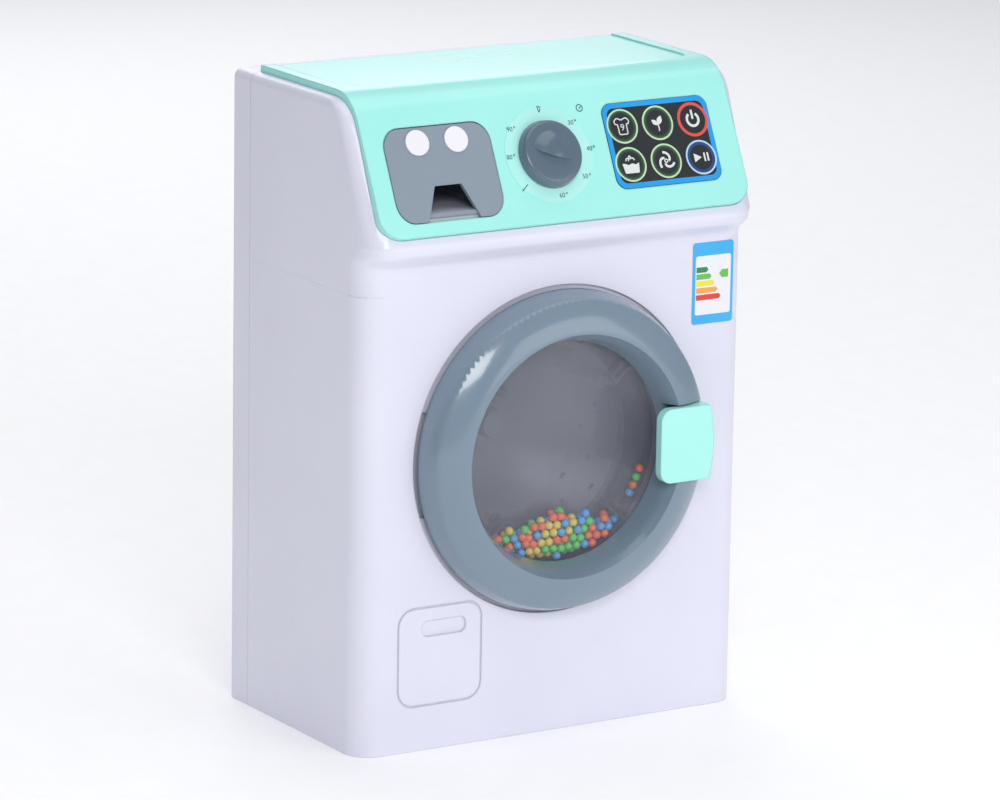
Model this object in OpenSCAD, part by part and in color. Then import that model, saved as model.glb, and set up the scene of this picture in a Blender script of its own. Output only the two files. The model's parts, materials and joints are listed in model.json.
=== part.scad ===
// Toy front-loading washing machine: moulded casing, slanted console with drawer, knob and touch film,
// round bead door with a lever handle, and a drum turned by a small motor and gears.
// Millimetres. The front faces -Y, X runs to the right seen from the front, and the floor is Z = 0.

/* [Casing] */
// Width across the casing
body_w = 194; // [188:1:212]
// Depth from the front panel to the back of the cover
body_d = 110; // [108:1:126]
// Height of the console deck above the floor
body_h = 284; // [280:1:296]
// Wall of the casing and of its back cover
wall = 2.4; // [2:0.1:3]
// Radius of the upright front corners
corner_r = 12; // [9:0.5:15]
// Depth of the back cover
cover_d = 14; // [13:0.5:16]
// Rounding of the top edges of the casing sides
top_edge_r = 4; // [2:0.5:4.5]
// Corner radius of the console lip, seen from above
lip_corner_r = 6; // [4.5:0.5:8]
// Rounding of the lip's nose
nose_r = 5; // [4:0.5:6]
// Hollow under the lip where it meets the panel
lip_fillet_r = 7; // [5:0.5:8]
// Clearance between fixed pieces that seat in each other
seat_gap = 0.15; // [0.1:0.05:0.25]

/* [Console] */
// Width of the console panel
console_w = 184; // [180:0.5:184]
// Height of the console panel's lower edge
console_z = 226.1; // [223:0.1:228]
// How far that edge stands in front of the front panel
console_out = 9; // [8:0.2:11]
// Lean of the console face from upright, in degrees
slope = 26; // [24:1:28]
// Radius of the roll from the face to the deck
roll_r = 20; // [16:1:24]
// Thickness of the console panel
console_t = 2.6; // [2.2:0.1:3]
// How far the console stands proud of the casing on the face
console_proud = 1.8; // [1.2:0.1:2.4]
// How far the deck stands above the casing sides
deck_proud = 3; // [2:0.1:3.4]
// Depth of the rim behind the console's edge
rim_d = 5; // [4.4:0.1:6]
// Radius of the console's lower corners
console_corner_r = 10; // [7:0.5:13]
// Width of the sunk field on the deck
deck_field_w = 172; // [160:1:174]
// Depth of that field
deck_field_t = 0.8; // [0.4:0.1:1.2]

/* [Drawer] */
// Centre of the drawer from the middle of the console
drawer_x = -56.5; // [-58:0.5:-55]
// Width of the drawer front
drawer_w = 51.6; // [48:0.2:53]
// Lower edge of the drawer front, measured up the face
drawer_v = 6.2; // [5:0.1:7]
// Upright height of the drawer front
drawer_h = 36.8; // [34:0.2:38]
// Corner radius of the drawer front
drawer_r = 8; // [6:0.5:9]
// Length of the tray behind the front
tray_l = 46; // [40:1:50]
// Height of the tray's sides
tray_h = 18; // [15:0.5:20]
// Wall of the tray and of its housing
tray_wall = 1.6; // [1.2:0.1:2]
// Travel of the drawer
drawer_travel = 30; // [20:1:34]
// Clearance around the drawer
drawer_gap = 0.4; // [0.3:0.05:0.6]

/* [Knob] */
// Centre of the knob from the middle of the console
knob_x = -4; // [-6:0.5:-2]
// Height of the knob's centre, measured up the face
knob_v = 29.8; // [29:0.2:31]
// Radius of the knob
knob_r = 15; // [13:0.5:16]
// Height of the knob's rim above the face
knob_h = 5; // [4:0.2:6]
// Height of the grip ridge above the knob's rim
ridge_h = 3; // [2:0.2:4]
// Radius of the knob's stem
stem_r = 4; // [3.6:0.1:4.6]
// Outer radius of the clear dial film
dial_r = 21.2; // [20:0.2:22]
// Teeth on the click wheel
click_teeth = 12; // [8:4:16]

/* [Touch film] */
// Centre of the film from the middle of the console
film_x = 53.4; // [52:0.2:54]
// Height of the film's centre, measured up the face
film_v = 30.4; // [30:0.1:31]
// Width of the film
film_w = 53.6; // [50:0.2:55]
// Height of the film
film_h = 38; // [35:0.5:39]
// Spacing of the six pads across the film
pad_dx = 18; // [16.5:0.5:18]
// Spacing of the two rows of pads
pad_dv = 17; // [15.5:0.5:17.5]
// Radius of the ring printed round a pad
pad_r = 7.7; // [7:0.1:7.8]

/* [Door] */
// Centre of the door from the middle of the casing
door_x = 0.7; // [-1:0.1:2]
// Height of the door's centre
door_z = 125; // [120:1:128]
// Outer radius of the door ring
door_r = 70.4; // [70:0.1:71]
// Radius of the ring's shoulder
shoulder_r = 67.6; // [67:0.1:68]
// Height of the shoulder above the panel
shoulder_h = 11.4; // [11:0.2:12]
// Radius of the ring's inner crease
crease_r = 53.4; // [53:0.1:54]
// Height of the crease, the highest line of the ring
crease_h = 17; // [16:0.2:18]
// Radius of the window opening
window_r = 48.2; // [47.4:0.2:48.6]
// Height of the window's face
window_h = 4.4; // [4:0.1:5]
// Wall of the door ring
ring_wall = 2.2; // [2:0.1:2.4]
// Thickness of the clear window
window_t = 1.6; // [1.2:0.1:1.8]
// Inside depth of the bead chamber
chamber_d = 9.6; // [8.6:0.2:10.2]
// Wall of the clear bowl
bowl_t = 1.4; // [1.2:0.1:1.6]
// Diameter of a bead
bead_d = 3.9; // [3.6:0.1:4.1]
// Depth of the recess round the door
recess_d = 2; // [2:0.1:2.4]
// Clearance between the door's edge and the recess
door_gap = 1.6; // [1.4:0.1:2]
// Distance of the hinge axis from the door's centre
hinge_r = 64.2; // [64:0.1:64.4]
// Height of the hinge axis above the panel
hinge_h = 6; // [6:0.1:6.4]
// Radius of the hinge pins
pin_r = 1; // [0.9:0.05:1.1]
// Running clearance of pins and shafts, radial
run_gap = 0.06; // [0.03:0.01:0.08]
// Height of the handle, upright
handle_w = 32.8; // [30:0.2:33]
// Inner edge of the handle from the door's centre
handle_in = 40.4; // [39.4:0.2:42]
// Height of the handle's face above the panel
handle_h = 19.4; // [19:0.1:20]

/* [Drive] */
// Outer radius of the drum
drum_r = 46; // [43:0.5:46.5]
// Depth of the drum
drum_d = 39; // [34:0.5:40]
// Wall of the drum
drum_t = 1.8; // [1.4:0.1:2.2]
// Radius of the drum's shaft
shaft_r = 3; // [2.5:0.1:3.4]
// Module of the gear teeth
gear_m = 1; // [0.95:0.01:1.04]
// Teeth on the drum gear
drum_teeth = 60; // [58:1:62]
// Teeth on the motor pinion and on the small step of the reduction gear
small_teeth = 14; // [14:1:15]
// Teeth on the large step of the reduction gear
large_teeth = 40; // [38:1:42]
// Face width of the gears
gear_t = 4; // [3:0.2:4.2]
// Free play between the teeth
backlash = 0.3; // [0.2:0.05:0.4]
// Diameter of the motor can
motor_d = 20; // [18:0.5:20.5]
// Length of the motor can
motor_l = 25; // [22:0.5:27]

/* [Power] */
// Diameter of a cell
cell_d = 14.4; // [14:0.1:14.8]
// Length of a cell
cell_l = 50; // [49:0.2:50.6]
// Number of cells
cells = 3; // [2:1:3]
// Clearance around each cell
cell_gap = 0.5; // [0.3:0.1:0.6]

/* [Hidden] */

$fn = 64;
eps = 0.01;
front_y = -body_d / 2;
back_y = body_d / 2;
seam_y = back_y - cover_d;
side_x = body_w / 2;
casing_top = body_h - deck_proud;
face_y = front_y - console_out;
console_xh = console_w / 2;
arc_steps = 8;

white = "#E6E6F2";
mint = "#A9F3EC";
slate = "#74858F";
dark_slate = "#55626E";
clear = "#DDEBF2";
steel = "#B8BCC0";

// Console face and deck: a line that leans back by `slope`, then a roll of radius r onto a level deck.
// `o` moves the line inwards and `top` is the deck's height. Points run up the face from height `from`.
function line_y(z, o) = face_y + (z - console_z) * tan(slope) + o / cos(slope);
function roll(o, r, top) = let (cz = top - r, cy = line_y(cz + r * sin(slope), o) + r * cos(slope))
  [for (i = [0:arc_steps]) let (a = slope + i * (90 - slope) / arc_steps) [cy - r * cos(a), cz + r * sin(a)]];
function face_line(o, from) = concat([[line_y(from, o), from]], roll(o, roll_r - o, body_h - o));
function backwards(p) = [for (i = [len(p) - 1:-1:0]) p[i]];

// Side outline of what lies under the face line moved in by `o`, back to `end`.
function under_face(o, from, end) = concat(face_line(o, from), [[end, body_h - o], [end, from]]);

// Side outline of a skin between two face lines.
function face_band(o, t, from, end) = concat(face_line(o, from), [[end, body_h - o], [end, body_h - o - t]],
  backwards(face_line(o + t, from)));

// One level of the casing's head: a plan outline at height z with rounded front corners.
corner_steps = 5;
function level(y, z, xh, r) = concat([[-xh, seam_y, z]],
  [for (i = [0:corner_steps]) let (a = i * 90 / corner_steps) [-xh + r - r * cos(a), y + r - r * sin(a), z]],
  [for (i = [corner_steps:-1:0]) let (a = i * 90 / corner_steps) [xh - r + r * cos(a), y + r - r * sin(a), z]],
  [[xh, seam_y, z]]);

// Skin over a stack of levels, closed by its first and last level.
module loft(levels) {
  n = len(levels[0]);
  m = len(levels);
  polyhedron(points = [for (l = levels) each l],
    faces = concat([[for (i = [0:n - 1]) i]], [[for (i = [n - 1:-1:0]) (m - 1) * n + i]],
      [for (k = [0:m - 2], i = [0:n - 1]) let (j = (i + 1) % n) [k * n + j, k * n + i, (k + 1) * n + i]],
      [for (k = [0:m - 2], i = [0:n - 1]) let (j = (i + 1) % n)
        [k * n + j, (k + 1) * n + i, (k + 1) * n + j]]));
}

// How far a rounded top edge of radius r has drawn in at height z.
function drawn_in(z, top, r) = z <= top - r ? 0 : r - sqrt(max(0, r * r - pow(z - top + r, 2)));

// Lays a shape on the console face: x across, y up the face, z outwards.
module on_face(x = 0, v = 0, off = 0) {
  translate([0, face_y, console_z]) rotate([90 - slope, 0, 0]) translate([x, v, off]) children();
}

// Lays a shape on the front panel at the door's centre: x right, y up, z outwards.
module on_door(x = 0, y = 0, h = 0) {
  translate([door_x, front_y, door_z]) rotate([90, 0, 0]) translate([x, y, h]) children();
}

// Points local z to the back from the point (x, z) at depth y.
module to_back(x, z, y) {
  translate([x, y, z]) rotate([-90, 0, 0]) children();
}

module extrude_x(half) {
  rotate([90, 0, 90]) translate([0, 0, -half]) linear_extrude(2 * half) children();
}

module rounded(w, h, r) {
  square([w - 2 * r, h], center = true);
  square([w, h - 2 * r], center = true);
  for (x = [-1, 1], y = [-1, 1]) translate([x * (w / 2 - r), y * (h / 2 - r)]) circle(r);
}

module tube(r_out, r_in, h) {
  difference() {
    cylinder(r = r_out, h = h);
    translate([0, 0, -1]) cylinder(r = r_in, h = h + 2);
  }
}

// Pan head screw: the head stands on z = 0 and the shank points down.
module screw(r, l, head_r, head_h) {
  cylinder(r = head_r, h = head_h);
  translate([0, 0, -l]) cylinder(r = r, h = l + eps);
}

// Upright plan of the casing with round front corners, drawn in by `o` and open to `end`.
module plan(o, end) {
  translate([-side_x + o, front_y + corner_r]) square([body_w - 2 * o, end - front_y - corner_r]);
  translate([-side_x + corner_r, front_y + o]) square([body_w - 2 * corner_r, corner_r]);
  for (s = [-1, 1]) translate([s * (side_x - corner_r), front_y + corner_r]) circle(corner_r - o);
}

// Casing head. Its side outline runs from the panel through a hollow fillet, the lip's underside and its
// round nose to the leaning face, the roll and the deck. It starts a hair inside the straight body's skin.
split_z = 200;
head_inset = 0.03;
lip_under = 30;
fillet_steps = 4;
nose_steps = 5;
lip_drop = 3;
white_r = roll_r - console_proud;
lip_end_z = console_z - console_proud * sin(slope) - lip_drop * cos(slope);
lip_end_y = line_y(lip_end_z, console_proud);
nose_y = lip_end_y + nose_r * cos(slope);
nose_z = lip_end_z - nose_r * sin(slope);
nose_a = 270 - lip_under;
under_y = nose_y + nose_r * cos(nose_a);
under_z = nose_z + nose_r * sin(nose_a);
fillet_cy = front_y + head_inset - lip_fillet_r;
fillet_end_y = fillet_cy + lip_fillet_r * sin(lip_under);
fillet_end_z = under_z - (fillet_end_y - under_y) * tan(lip_under);
fillet_cz = fillet_end_z - lip_fillet_r * cos(lip_under);

function head_line() = concat([[front_y + head_inset, split_z - 2]],
  [for (i = [0:fillet_steps]) let (a = i * (90 - lip_under) / fillet_steps)
    [fillet_cy + lip_fillet_r * cos(a), fillet_cz + lip_fillet_r * sin(a)]],
  [for (i = [0:nose_steps]) let (a = nose_a + i * (180 - slope - nose_a) / nose_steps)
    [nose_y + nose_r * cos(a), nose_z + nose_r * sin(a)]],
  roll(console_proud, white_r, casing_top));

// Corner radius along the head: it widens at the nose, so the lip's lower corners look round, then closes.
lip_round_r = 15;
lip_round_z = 13;
function head_corner(z) = let (t = (z - fillet_cz) / (nose_z - fillet_cz), u = (z - nose_z) / lip_round_z)
  t < 0 ? corner_r : t < 1 ? corner_r + t * (lip_round_r - corner_r)
  : u < 1 ? lip_corner_r + (lip_round_r - lip_corner_r) * pow(1 - u, 2) : lip_corner_r;

module casing_head() {
  loft([for (p = head_line()) level(p[0], p[1], side_x - head_inset - drawn_in(p[1], casing_top, top_edge_r),
    head_corner(p[1]))]);
}

// Hollow inside the head, open to the back.
seat_xh = console_xh + seat_gap;
hollow_from = console_z - 6;
head_wall_extra = 1.6;
module head_hollow() {
  low = split_z - wall - 1;
  translate([0, 0, low]) linear_extrude(hollow_from - low + 1) plan(wall, seam_y + 1);
  extrude_x(side_x - wall - head_wall_extra) polygon(concat([[seam_y + 1, hollow_from], [front_y + wall, hollow_from]],
    face_line(rim_d + wall, console_z + 2), [[seam_y + 1, body_h - rim_d - wall]]));
}

// Room for the console, with its lower corners round, and ledges under the console's rim.
face_reach = 140;
seat_over = 8;
module console_outline(grow) {
  reach = 160;
  w = console_w + 2 * grow;
  r = console_corner_r + grow;
  translate([0, reach / 2 - grow]) square([w - 2 * r, reach], center = true);
  translate([0, reach / 2 - grow + r]) square([w, reach], center = true);
  for (s = [-1, 1]) translate([s * (w / 2 - r), r - grow]) circle(r);
}
module console_seat() {
  intersection() {
    extrude_x(seat_xh) polygon(under_face(-8, console_z - 40, seam_y + 1));
    on_face(0, 0, -rim_d - seat_gap) linear_extrude(30) console_outline(seat_gap);
  }
  extrude_x(seat_xh) polygon(face_band(-seat_over, rim_d + seat_gap + seat_over, console_z + 12, seam_y + 1));
}
ledge_w = 4.4;
deck_ledge_w = 4.8;
module face_opening() {
  on_face(0, 0, -30) linear_extrude(60) intersection() {
    translate([0, -ledge_w]) console_outline(-ledge_w);
    translate([-100, ledge_w]) square([200, 200]);
  }
  translate([-console_xh + deck_ledge_w, line_y(body_h - roll_r, rim_d), body_h - 30])
    cube([console_w - 2 * deck_ledge_w, 200, 60]);
}

door_fit_r = door_r + door_gap;
opening_r = 53;
post_x = 66;
post_y = 60;
post_r = 4;
plate_y = 7;
plate_t = 2.4;
screw_r = 1.5;
screw_fit = 0.05;
boss_r = 4;
boss_l = 24;
boss_x = side_x - wall - boss_r + 1;
boss_z = [20, 128, 206];
pocket_h = 4.4;
pocket_w = 46;
hook_x = 60;
hook_w = 8;
slot_x = 59.4;
slot_w = 8.4;
button_x = 57.5;
button_z = -24;
button_r = 2;
ear_r = 2.4;
ear_t = 3.6;
ear_z = 8;
arm_in = 5.4;
arm_t = 2.4;
hatch_x = -57;
hatch_z = 41.6;
hatch_w = 42;
hatch_hh = 44;

module front_casing() {
  color(white) difference() {
    union() {
      difference() {
        union() {
          linear_extrude(split_z) plan(0, seam_y);
          casing_head();
        }
        translate([0, 0, wall]) linear_extrude(split_z - 2 * wall) plan(wall, seam_y + 1);
        head_hollow();
      }
      on_door(0, 0, -recess_d - wall) cylinder(r = door_fit_r + wall, h = recess_d + wall - eps);
      on_door(-hinge_r, 0, -pocket_h - wall) translate([-9.6, -pocket_w / 2 - wall, 0])
        cube([24, pocket_w + 2 * wall, pocket_h + wall - eps]);
      on_door(0, 0, -pocket_h - wall) cylinder(r = opening_r + 3, h = pocket_h + wall - eps);
      for (x = [-1, 1], z = [-1, 1]) to_back(door_x + x * post_x, door_z + z * post_y, front_y + wall - eps)
        cylinder(r = post_r, h = plate_y - front_y - wall + eps);
      for (s = [-1, 1], z = boss_z) to_back(s * boss_x, z, seam_y - boss_l) cylinder(r = boss_r, h = boss_l);
    }
    console_seat();
    face_opening();
    on_door(0, 0, -recess_d) cylinder(r = door_fit_r, h = recess_d + 1);
    on_door() intersection() {
      translate([-hinge_r - 8, -pocket_w / 2, -pocket_h]) cube([20, pocket_w, pocket_h]);
      translate([0, 0, -pocket_h]) cylinder(r = door_fit_r, h = pocket_h);
    }
    on_door(0, 0, -20) cylinder(r = opening_r, h = 30);
    on_door(slot_x - slot_w / 2, -hook_w / 2 - 1, -12) cube([slot_w, hook_w + 2, 14]);
    on_door(button_x, button_z, -12) cylinder(r = button_r + 0.2, h = 14);
    for (x = [-1, 1], z = [-1, 1]) to_back(door_x + x * post_x, door_z + z * post_y, plate_y - 12)
      cylinder(r = screw_r + screw_fit, h = 13);
    for (s = [-1, 1], z = boss_z) to_back(s * boss_x, z, seam_y - 14) cylinder(r = screw_r + screw_fit, h = 15);
    filter_hatch();
  }
  color(white) hinge_arms();
}

// Two goose-neck arms hold the hinge pin in front of the panel and reach inboard, so the ring clears them.
module hinge_arms() {
  for (s = [-1, 1]) on_door(-hinge_r, s * (ear_z + ear_t / 2), 0) rotate([90, 0, 0])
    translate([0, 0, s > 0 ? 0 : -ear_t]) difference() {
      union() {
        translate([0, hinge_h, 0]) cylinder(r = ear_r, h = ear_t);
        translate([0, hinge_h - 2, 0]) cube([arm_in + arm_t, 4, ear_t]);
        translate([arm_in, -pocket_h - 1, 0]) cube([arm_t, hinge_h + pocket_h + 1, ear_t]);
      }
      translate([0, hinge_h, -1]) cylinder(r = pin_r + run_gap, h = ear_t + 2);
    }
}

// Moulded outline of a filter hatch with a finger recess: shallow grooves, not a moving flap.
module filter_hatch() {
  translate([hatch_x, front_y, hatch_z]) rotate([90, 0, 0]) {
    translate([0, 0, -0.7]) linear_extrude(3) difference() {
      rounded(hatch_w, hatch_hh, 8);
      rounded(hatch_w - 1.6, hatch_hh - 1.6, 7.2);
    }
    translate([2, 12, -1.2]) linear_extrude(3) rounded(22, 7, 3);
  }
}

cover_lip = 3;
box_w = cell_l + 9;
box_x = 0;
box_z = 14;
box_wall = 1.6;
strip_h = 8;
box_d = cell_d + 2 * cell_gap;
box_h = cells * box_d + 2 * box_wall + strip_h;
switch_x = 58;
switch_z = 56;
speaker_x = -60;
speaker_z = 60;
speaker_r = 18;
module cover_outline(o) {
  r = top_edge_r;
  translate([-side_x + o, o]) square([body_w - 2 * o, casing_top - o - r]);
  translate([-side_x + r, o]) square([body_w - 2 * r, casing_top - 2 * o]);
  for (s = [-1, 1]) translate([s * (side_x - r), casing_top - r]) circle(max(0.5, r - o));
}
// Register that enters the casing: a band inside its walls, broken at the bosses, ending at depth y.
register_h = 180;
module cover_register(y, l, gap) {
  translate([0, y, 0]) rotate([90, 0, 0]) linear_extrude(l) difference() {
    translate([-side_x + wall + gap, wall + gap]) square([body_w - 2 * wall - 2 * gap, register_h]);
    translate([-side_x + 2 * wall, 2 * wall]) square([body_w - 4 * wall, register_h]);
    for (s = [-1, 1], z = boss_z) translate([s * boss_x, z]) circle(boss_r + 0.4);
  }
}

module back_cover() {
  color(white) difference() {
    union() {
      difference() {
        translate([0, back_y, 0]) rotate([90, 0, 0]) linear_extrude(cover_d) cover_outline(0);
        translate([0, back_y - wall, 0]) rotate([90, 0, 0]) linear_extrude(cover_d) cover_outline(wall);
      }
      for (s = [-1, 1], z = boss_z) to_back(s * boss_x, z, seam_y) cylinder(r = boss_r, h = cover_d - 1);
      cover_register(seam_y, cover_lip, seat_gap);
      cover_register(seam_y + 3, 3, -0.3);
      for (x = [-1, 1], z = [-1, 1]) to_back(board_x + x * (board_w / 2 - 4), board_z + z * (board_h / 2 - 4),
        board_y + board_t) cylinder(r = 3, h = back_y - board_y - board_t - 1);
      to_back(speaker_x, speaker_z, back_y - wall - 3) tube(speaker_r + 2, speaker_r + seat_gap, 4);
    }
    for (s = [-1, 1], z = boss_z) {
      to_back(s * boss_x, z, seam_y - 1) cylinder(r = screw_r + screw_fit, h = cover_d + 2);
      to_back(s * boss_x, z, back_y - 6) cylinder(r = 3, h = 7);
    }
    translate([box_x - box_w / 2 - seat_gap, back_y - wall - 1, box_z - seat_gap])
      cube([box_w + 2 * seat_gap, wall + 2, box_h + 2 * seat_gap]);
    for (x = [-1, 1], z = [-1, 1]) to_back(board_x + x * (board_w / 2 - 4), board_z + z * (board_h / 2 - 4),
      board_y) cylinder(r = 1 + screw_fit, h = 8);
    to_back(switch_x, switch_z, back_y - wall - 1) translate([-5, -2.5, 0]) cube([10, 5, wall + 2]);
    for (k = [0:2], a = [0:60:300]) to_back(speaker_x + (5 * k) * cos(a + 30 * k),
      speaker_z + (5 * k) * sin(a + 30 * k), back_y - wall - 1) cylinder(r = 1.3, h = wall + 2);
  }
}

console_seam = seam_y - seat_gap;
stem_hole_r = stem_r + run_gap;
module console_panel() {
  color(mint) difference() {
    union() {
      difference() {
        intersection() {
          extrude_x(console_xh) polygon(face_band(0, rim_d, console_z - 3, console_seam));
          on_face(0, 0, -face_reach) linear_extrude(face_reach + 30) console_outline(0);
        }
        intersection() {
          extrude_x(console_xh - console_t)
            polygon(face_band(console_t, rim_d + 2, console_z - 6, console_seam - console_t));
          on_face(0, 0, -face_reach) linear_extrude(face_reach + 30) console_outline(-console_t);
        }
      }
      on_face(knob_x, knob_v, -rim_d) cylinder(r = stem_hole_r + 2, h = rim_d - console_t / 2);
      for (x = [-1, 1], v = [-1, 1]) on_face(film_x + x * (film_w / 2 - 5), film_v + v * (film_h / 2 - 5), -rim_d)
        cylinder(r = 2.4, h = rim_d - console_t / 2);
    }
    drawer_shape(drawer_gap, -80, 60);
    on_face(knob_x, knob_v, -20) cylinder(r = stem_hole_r, h = 30);
    on_face(film_x, film_v, -film_sink) linear_extrude(3) rounded(film_w + 0.3, film_h + 0.3, 5.15);
    for (x = [-1, 1], v = [-1, 1]) on_face(film_x + x * (film_w / 2 - 5), film_v + v * (film_h / 2 - 5),
      -rim_d - 1) cylinder(r = 0.9 + screw_fit, h = 5);
    translate([0, field_y + 100, body_h - deck_field_t]) linear_extrude(5) rounded(deck_field_w, 200, 8);
  }
}
field_y = line_y(body_h - roll_r + roll_r * sin(slope), 0) + roll_r * cos(slope);
film_sink = 0.3;
film_t = 0.5;

// Upright outline of the drawer front, swept along Y from y0 by a length.
drawer_z = console_z + drawer_v * cos(slope);
module drawer_shape(grow, y0, l) {
  to_back(drawer_x, drawer_z + drawer_h / 2, y0) linear_extrude(l)
    rounded(drawer_w + 2 * grow, drawer_h + 2 * grow, drawer_r + grow);
}

// Tub behind the opening: a wide mouth for the bead bowl, then a close wall round the drum.
collar_y = front_y + pocket_h + wall;
tub_r = drum_r + 2;
tub_t = 1.8;
mouth_d = 6;
bush_r = 5;
module drum_tub() {
  step = collar_y + mouth_d;
  color(dark_slate) to_back(door_x, door_z, 0) rotate_extrude() polygon([[opening_r, collar_y],
    [opening_r, step], [tub_r, step], [tub_r, plate_y - wall], [bush_r + run_gap, plate_y - wall],
    [bush_r + run_gap, plate_y], [tub_r + tub_t, plate_y], [tub_r + tub_t, step + tub_t],
    [opening_r + tub_t, step + tub_t], [opening_r + tub_t, collar_y]]);
}

// Door ring section as (radius, height): skirt, convex face, crease, bevel and window wall.
bevel_r = 50.6;
bevel_h = crease_h - 4.8;
ring_bulge = 1.3;
ring_edge = 1;
face_steps = 8;
function ring_face(t, inset) = let (r0 = shoulder_r - inset, r1 = crease_r + inset * 0.6)
  [r0 + (r1 - r0) * t, shoulder_h - inset * 0.9 + (crease_h - shoulder_h) * t + 4 * ring_bulge * t * (1 - t)];
function ring_section() = concat([[door_r, ring_edge], [door_r - 0.2, ring_edge + 3]],
  [for (i = [0:face_steps]) ring_face(i / face_steps, 0)],
  [[bevel_r, bevel_h], [window_r, window_h], [window_r + ring_wall, window_h], [bevel_r + ring_wall, bevel_h - 0.4]],
  [for (i = [face_steps:-1:0]) ring_face(i / face_steps, ring_wall)],
  [[door_r - ring_wall, ring_edge + 3], [door_r - ring_wall, ring_edge]]);

screw_at = [40, 90, 140, 220, 270, 320];
door_screw_r = 60;
door_boss_h = 11;
handle_gap = 0.6;
notch_h = 9;
module door_ring() {
  color(slate) on_door() difference() {
    union() {
      rotate_extrude($fn = 128) polygon(ring_section());
      for (a = screw_at) rotate(a) translate([door_screw_r, 0, door_boss_h]) cylinder(r = 3, h = 3);
    }
    translate([handle_in + 3.6, -handle_w / 2 - handle_gap, notch_h]) cube([40, handle_w + 2 * handle_gap, 20]);
    translate([-hinge_r, 11, hinge_h]) rotate([90, 0, 0]) cylinder(r = ear_r + 0.4, h = 22);
    for (a = screw_at) rotate(a) translate([door_screw_r, 0, 0]) cylinder(r = screw_r - 0.3 + screw_fit, h = 13);
  }
}

// Plate behind the ring: clamps window and bowl, and carries the hinge knuckle and the handle's ears.
plate_h1 = window_h - window_t - 1.6;
plate_h0 = plate_h1 - 1.6;
lever_x = 61.5;
lever_h = 8;
lever_half = 12;
lever_ear = 2;
bowl_r = opening_r - 2;
module door_back_ring() {
  color(slate) on_door() difference() {
    union() {
      translate([0, 0, plate_h0]) cylinder(r = door_r - ring_wall - seat_gap, h = plate_h1 - plate_h0, $fn = 128);
      for (a = screw_at) rotate(a) translate([door_screw_r, 0, plate_h0]) cylinder(r = 3, h = door_boss_h - plate_h0);
      hinge_boss(-hinge_r, hinge_h, 0, 2 * (ear_z - ear_t / 2 - 0.2));
      for (s = [-1, 1]) hinge_boss(lever_x, lever_h, s * (lever_half + 0.3 + lever_ear / 2), lever_ear);
    }
    translate([0, 0, plate_h0 - 1]) cylinder(r = bowl_r + 0.2, h = 20, $fn = 128);
    for (s = [-1, 1]) translate([-hinge_r - 8, s * ear_z - ear_t / 2 - 0.3, plate_h0 - 1])
      cube([8 + arm_in + arm_t + 0.9, ear_t + 0.6, plate_h1 - plate_h0 + 2]);
    translate([hook_x - 6.4, -hook_w / 2 - 1, plate_h0 - 1]) cube([10.4, hook_w + 2, 5]);
    translate([-hinge_r, 20, hinge_h]) rotate([90, 0, 0]) cylinder(r = pin_r + run_gap, h = 40);
    translate([lever_x, 20, lever_h]) rotate([90, 0, 0]) cylinder(r = pin_r + run_gap, h = 40);
    for (a = screw_at) rotate(a) translate([door_screw_r, 0, plate_h0 - 1])
      cylinder(r = screw_r - 0.3 + screw_fit, h = 20);
  }
}
// Round bearing of a length, its axis upright at height h, on a web that stands on the plate.
module hinge_boss(x, h, y, l) {
  translate([x, y + l / 2, h]) rotate([90, 0, 0]) cylinder(r = ear_r, h = l);
  translate([x - 1.8, y - l / 2, plate_h0]) cube([3.6, l, h - plate_h0]);
}

module door_window() {
  color(clear, 0.35) on_door(0, 0, window_h - window_t) cylinder(r = opening_r, h = window_t, $fn = 128);
}

fin_l = 11;
module bead_bowl() {
  top = window_h - window_t;
  back = plate_h1 + 1.6 - chamber_d - bowl_t;
  color(clear, 0.35) on_door() {
    rotate_extrude($fn = 128) polygon([[0, back], [bowl_r, back], [bowl_r, plate_h1], [opening_r, plate_h1],
      [opening_r, top], [bowl_r - bowl_t, top], [bowl_r - bowl_t, back + bowl_t], [0, back + bowl_t]]);
    for (a = [45:90:315], s = [-1, 1]) rotate(a) translate([bowl_r - bowl_t - fin_l, s * 1.6 - 0.4, back + 1])
      cube([fin_l + 0.4, 0.8, chamber_d - 1.4]);
  }
}

// Beads piled against the window in close rows, under a low mound.
heap_h = 18.6;
heap_sag = 0.0125;
heap_x = 3;
module beads() {
  pitch = bead_d + 0.02;
  floor_r = bowl_r - bowl_t - bead_d / 2 - 0.1;
  rows = ceil(heap_h / (pitch * sin(60)));
  color("#F08A50") on_door(0, 0, window_h - window_t - bead_d / 2 - 0.1) for (k = [0:rows - 1]) {
    y = -floor_r + k * pitch * sin(60);
    shift = k % 2 == 0 ? 0 : pitch / 2;
    for (i = [-9:9]) {
      x = i * pitch + shift;
      under = y <= -floor_r + heap_h - heap_sag * pow(x - heap_x, 2);
      if (under && norm([x, y]) <= floor_r && abs(abs(abs(x) - abs(y)) / sqrt(2) - 1.6) > bead_d / 2 + 0.5
        && (abs(abs(x) - abs(y)) / sqrt(2) > 4 || norm([x, y]) < floor_r - fin_l))
        translate([x, y, 0]) sphere(d = bead_d, $fn = 14);
    }
  }
}

module upright_pin(x, h, half) {
  on_door(x, half, h) rotate([90, 0, 0]) {
    cylinder(r = pin_r, h = 2 * half);
    translate([0, 0, -0.8]) cylinder(r = pin_r + 0.8, h = 0.8);
  }
}
module door_hinge_pin() {
  color(steel) upright_pin(-hinge_r, hinge_h, ear_z + ear_t / 2);
}
module handle_pin() {
  color(steel) upright_pin(lever_x, lever_h, lever_half + 0.3 + lever_ear);
}

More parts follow.
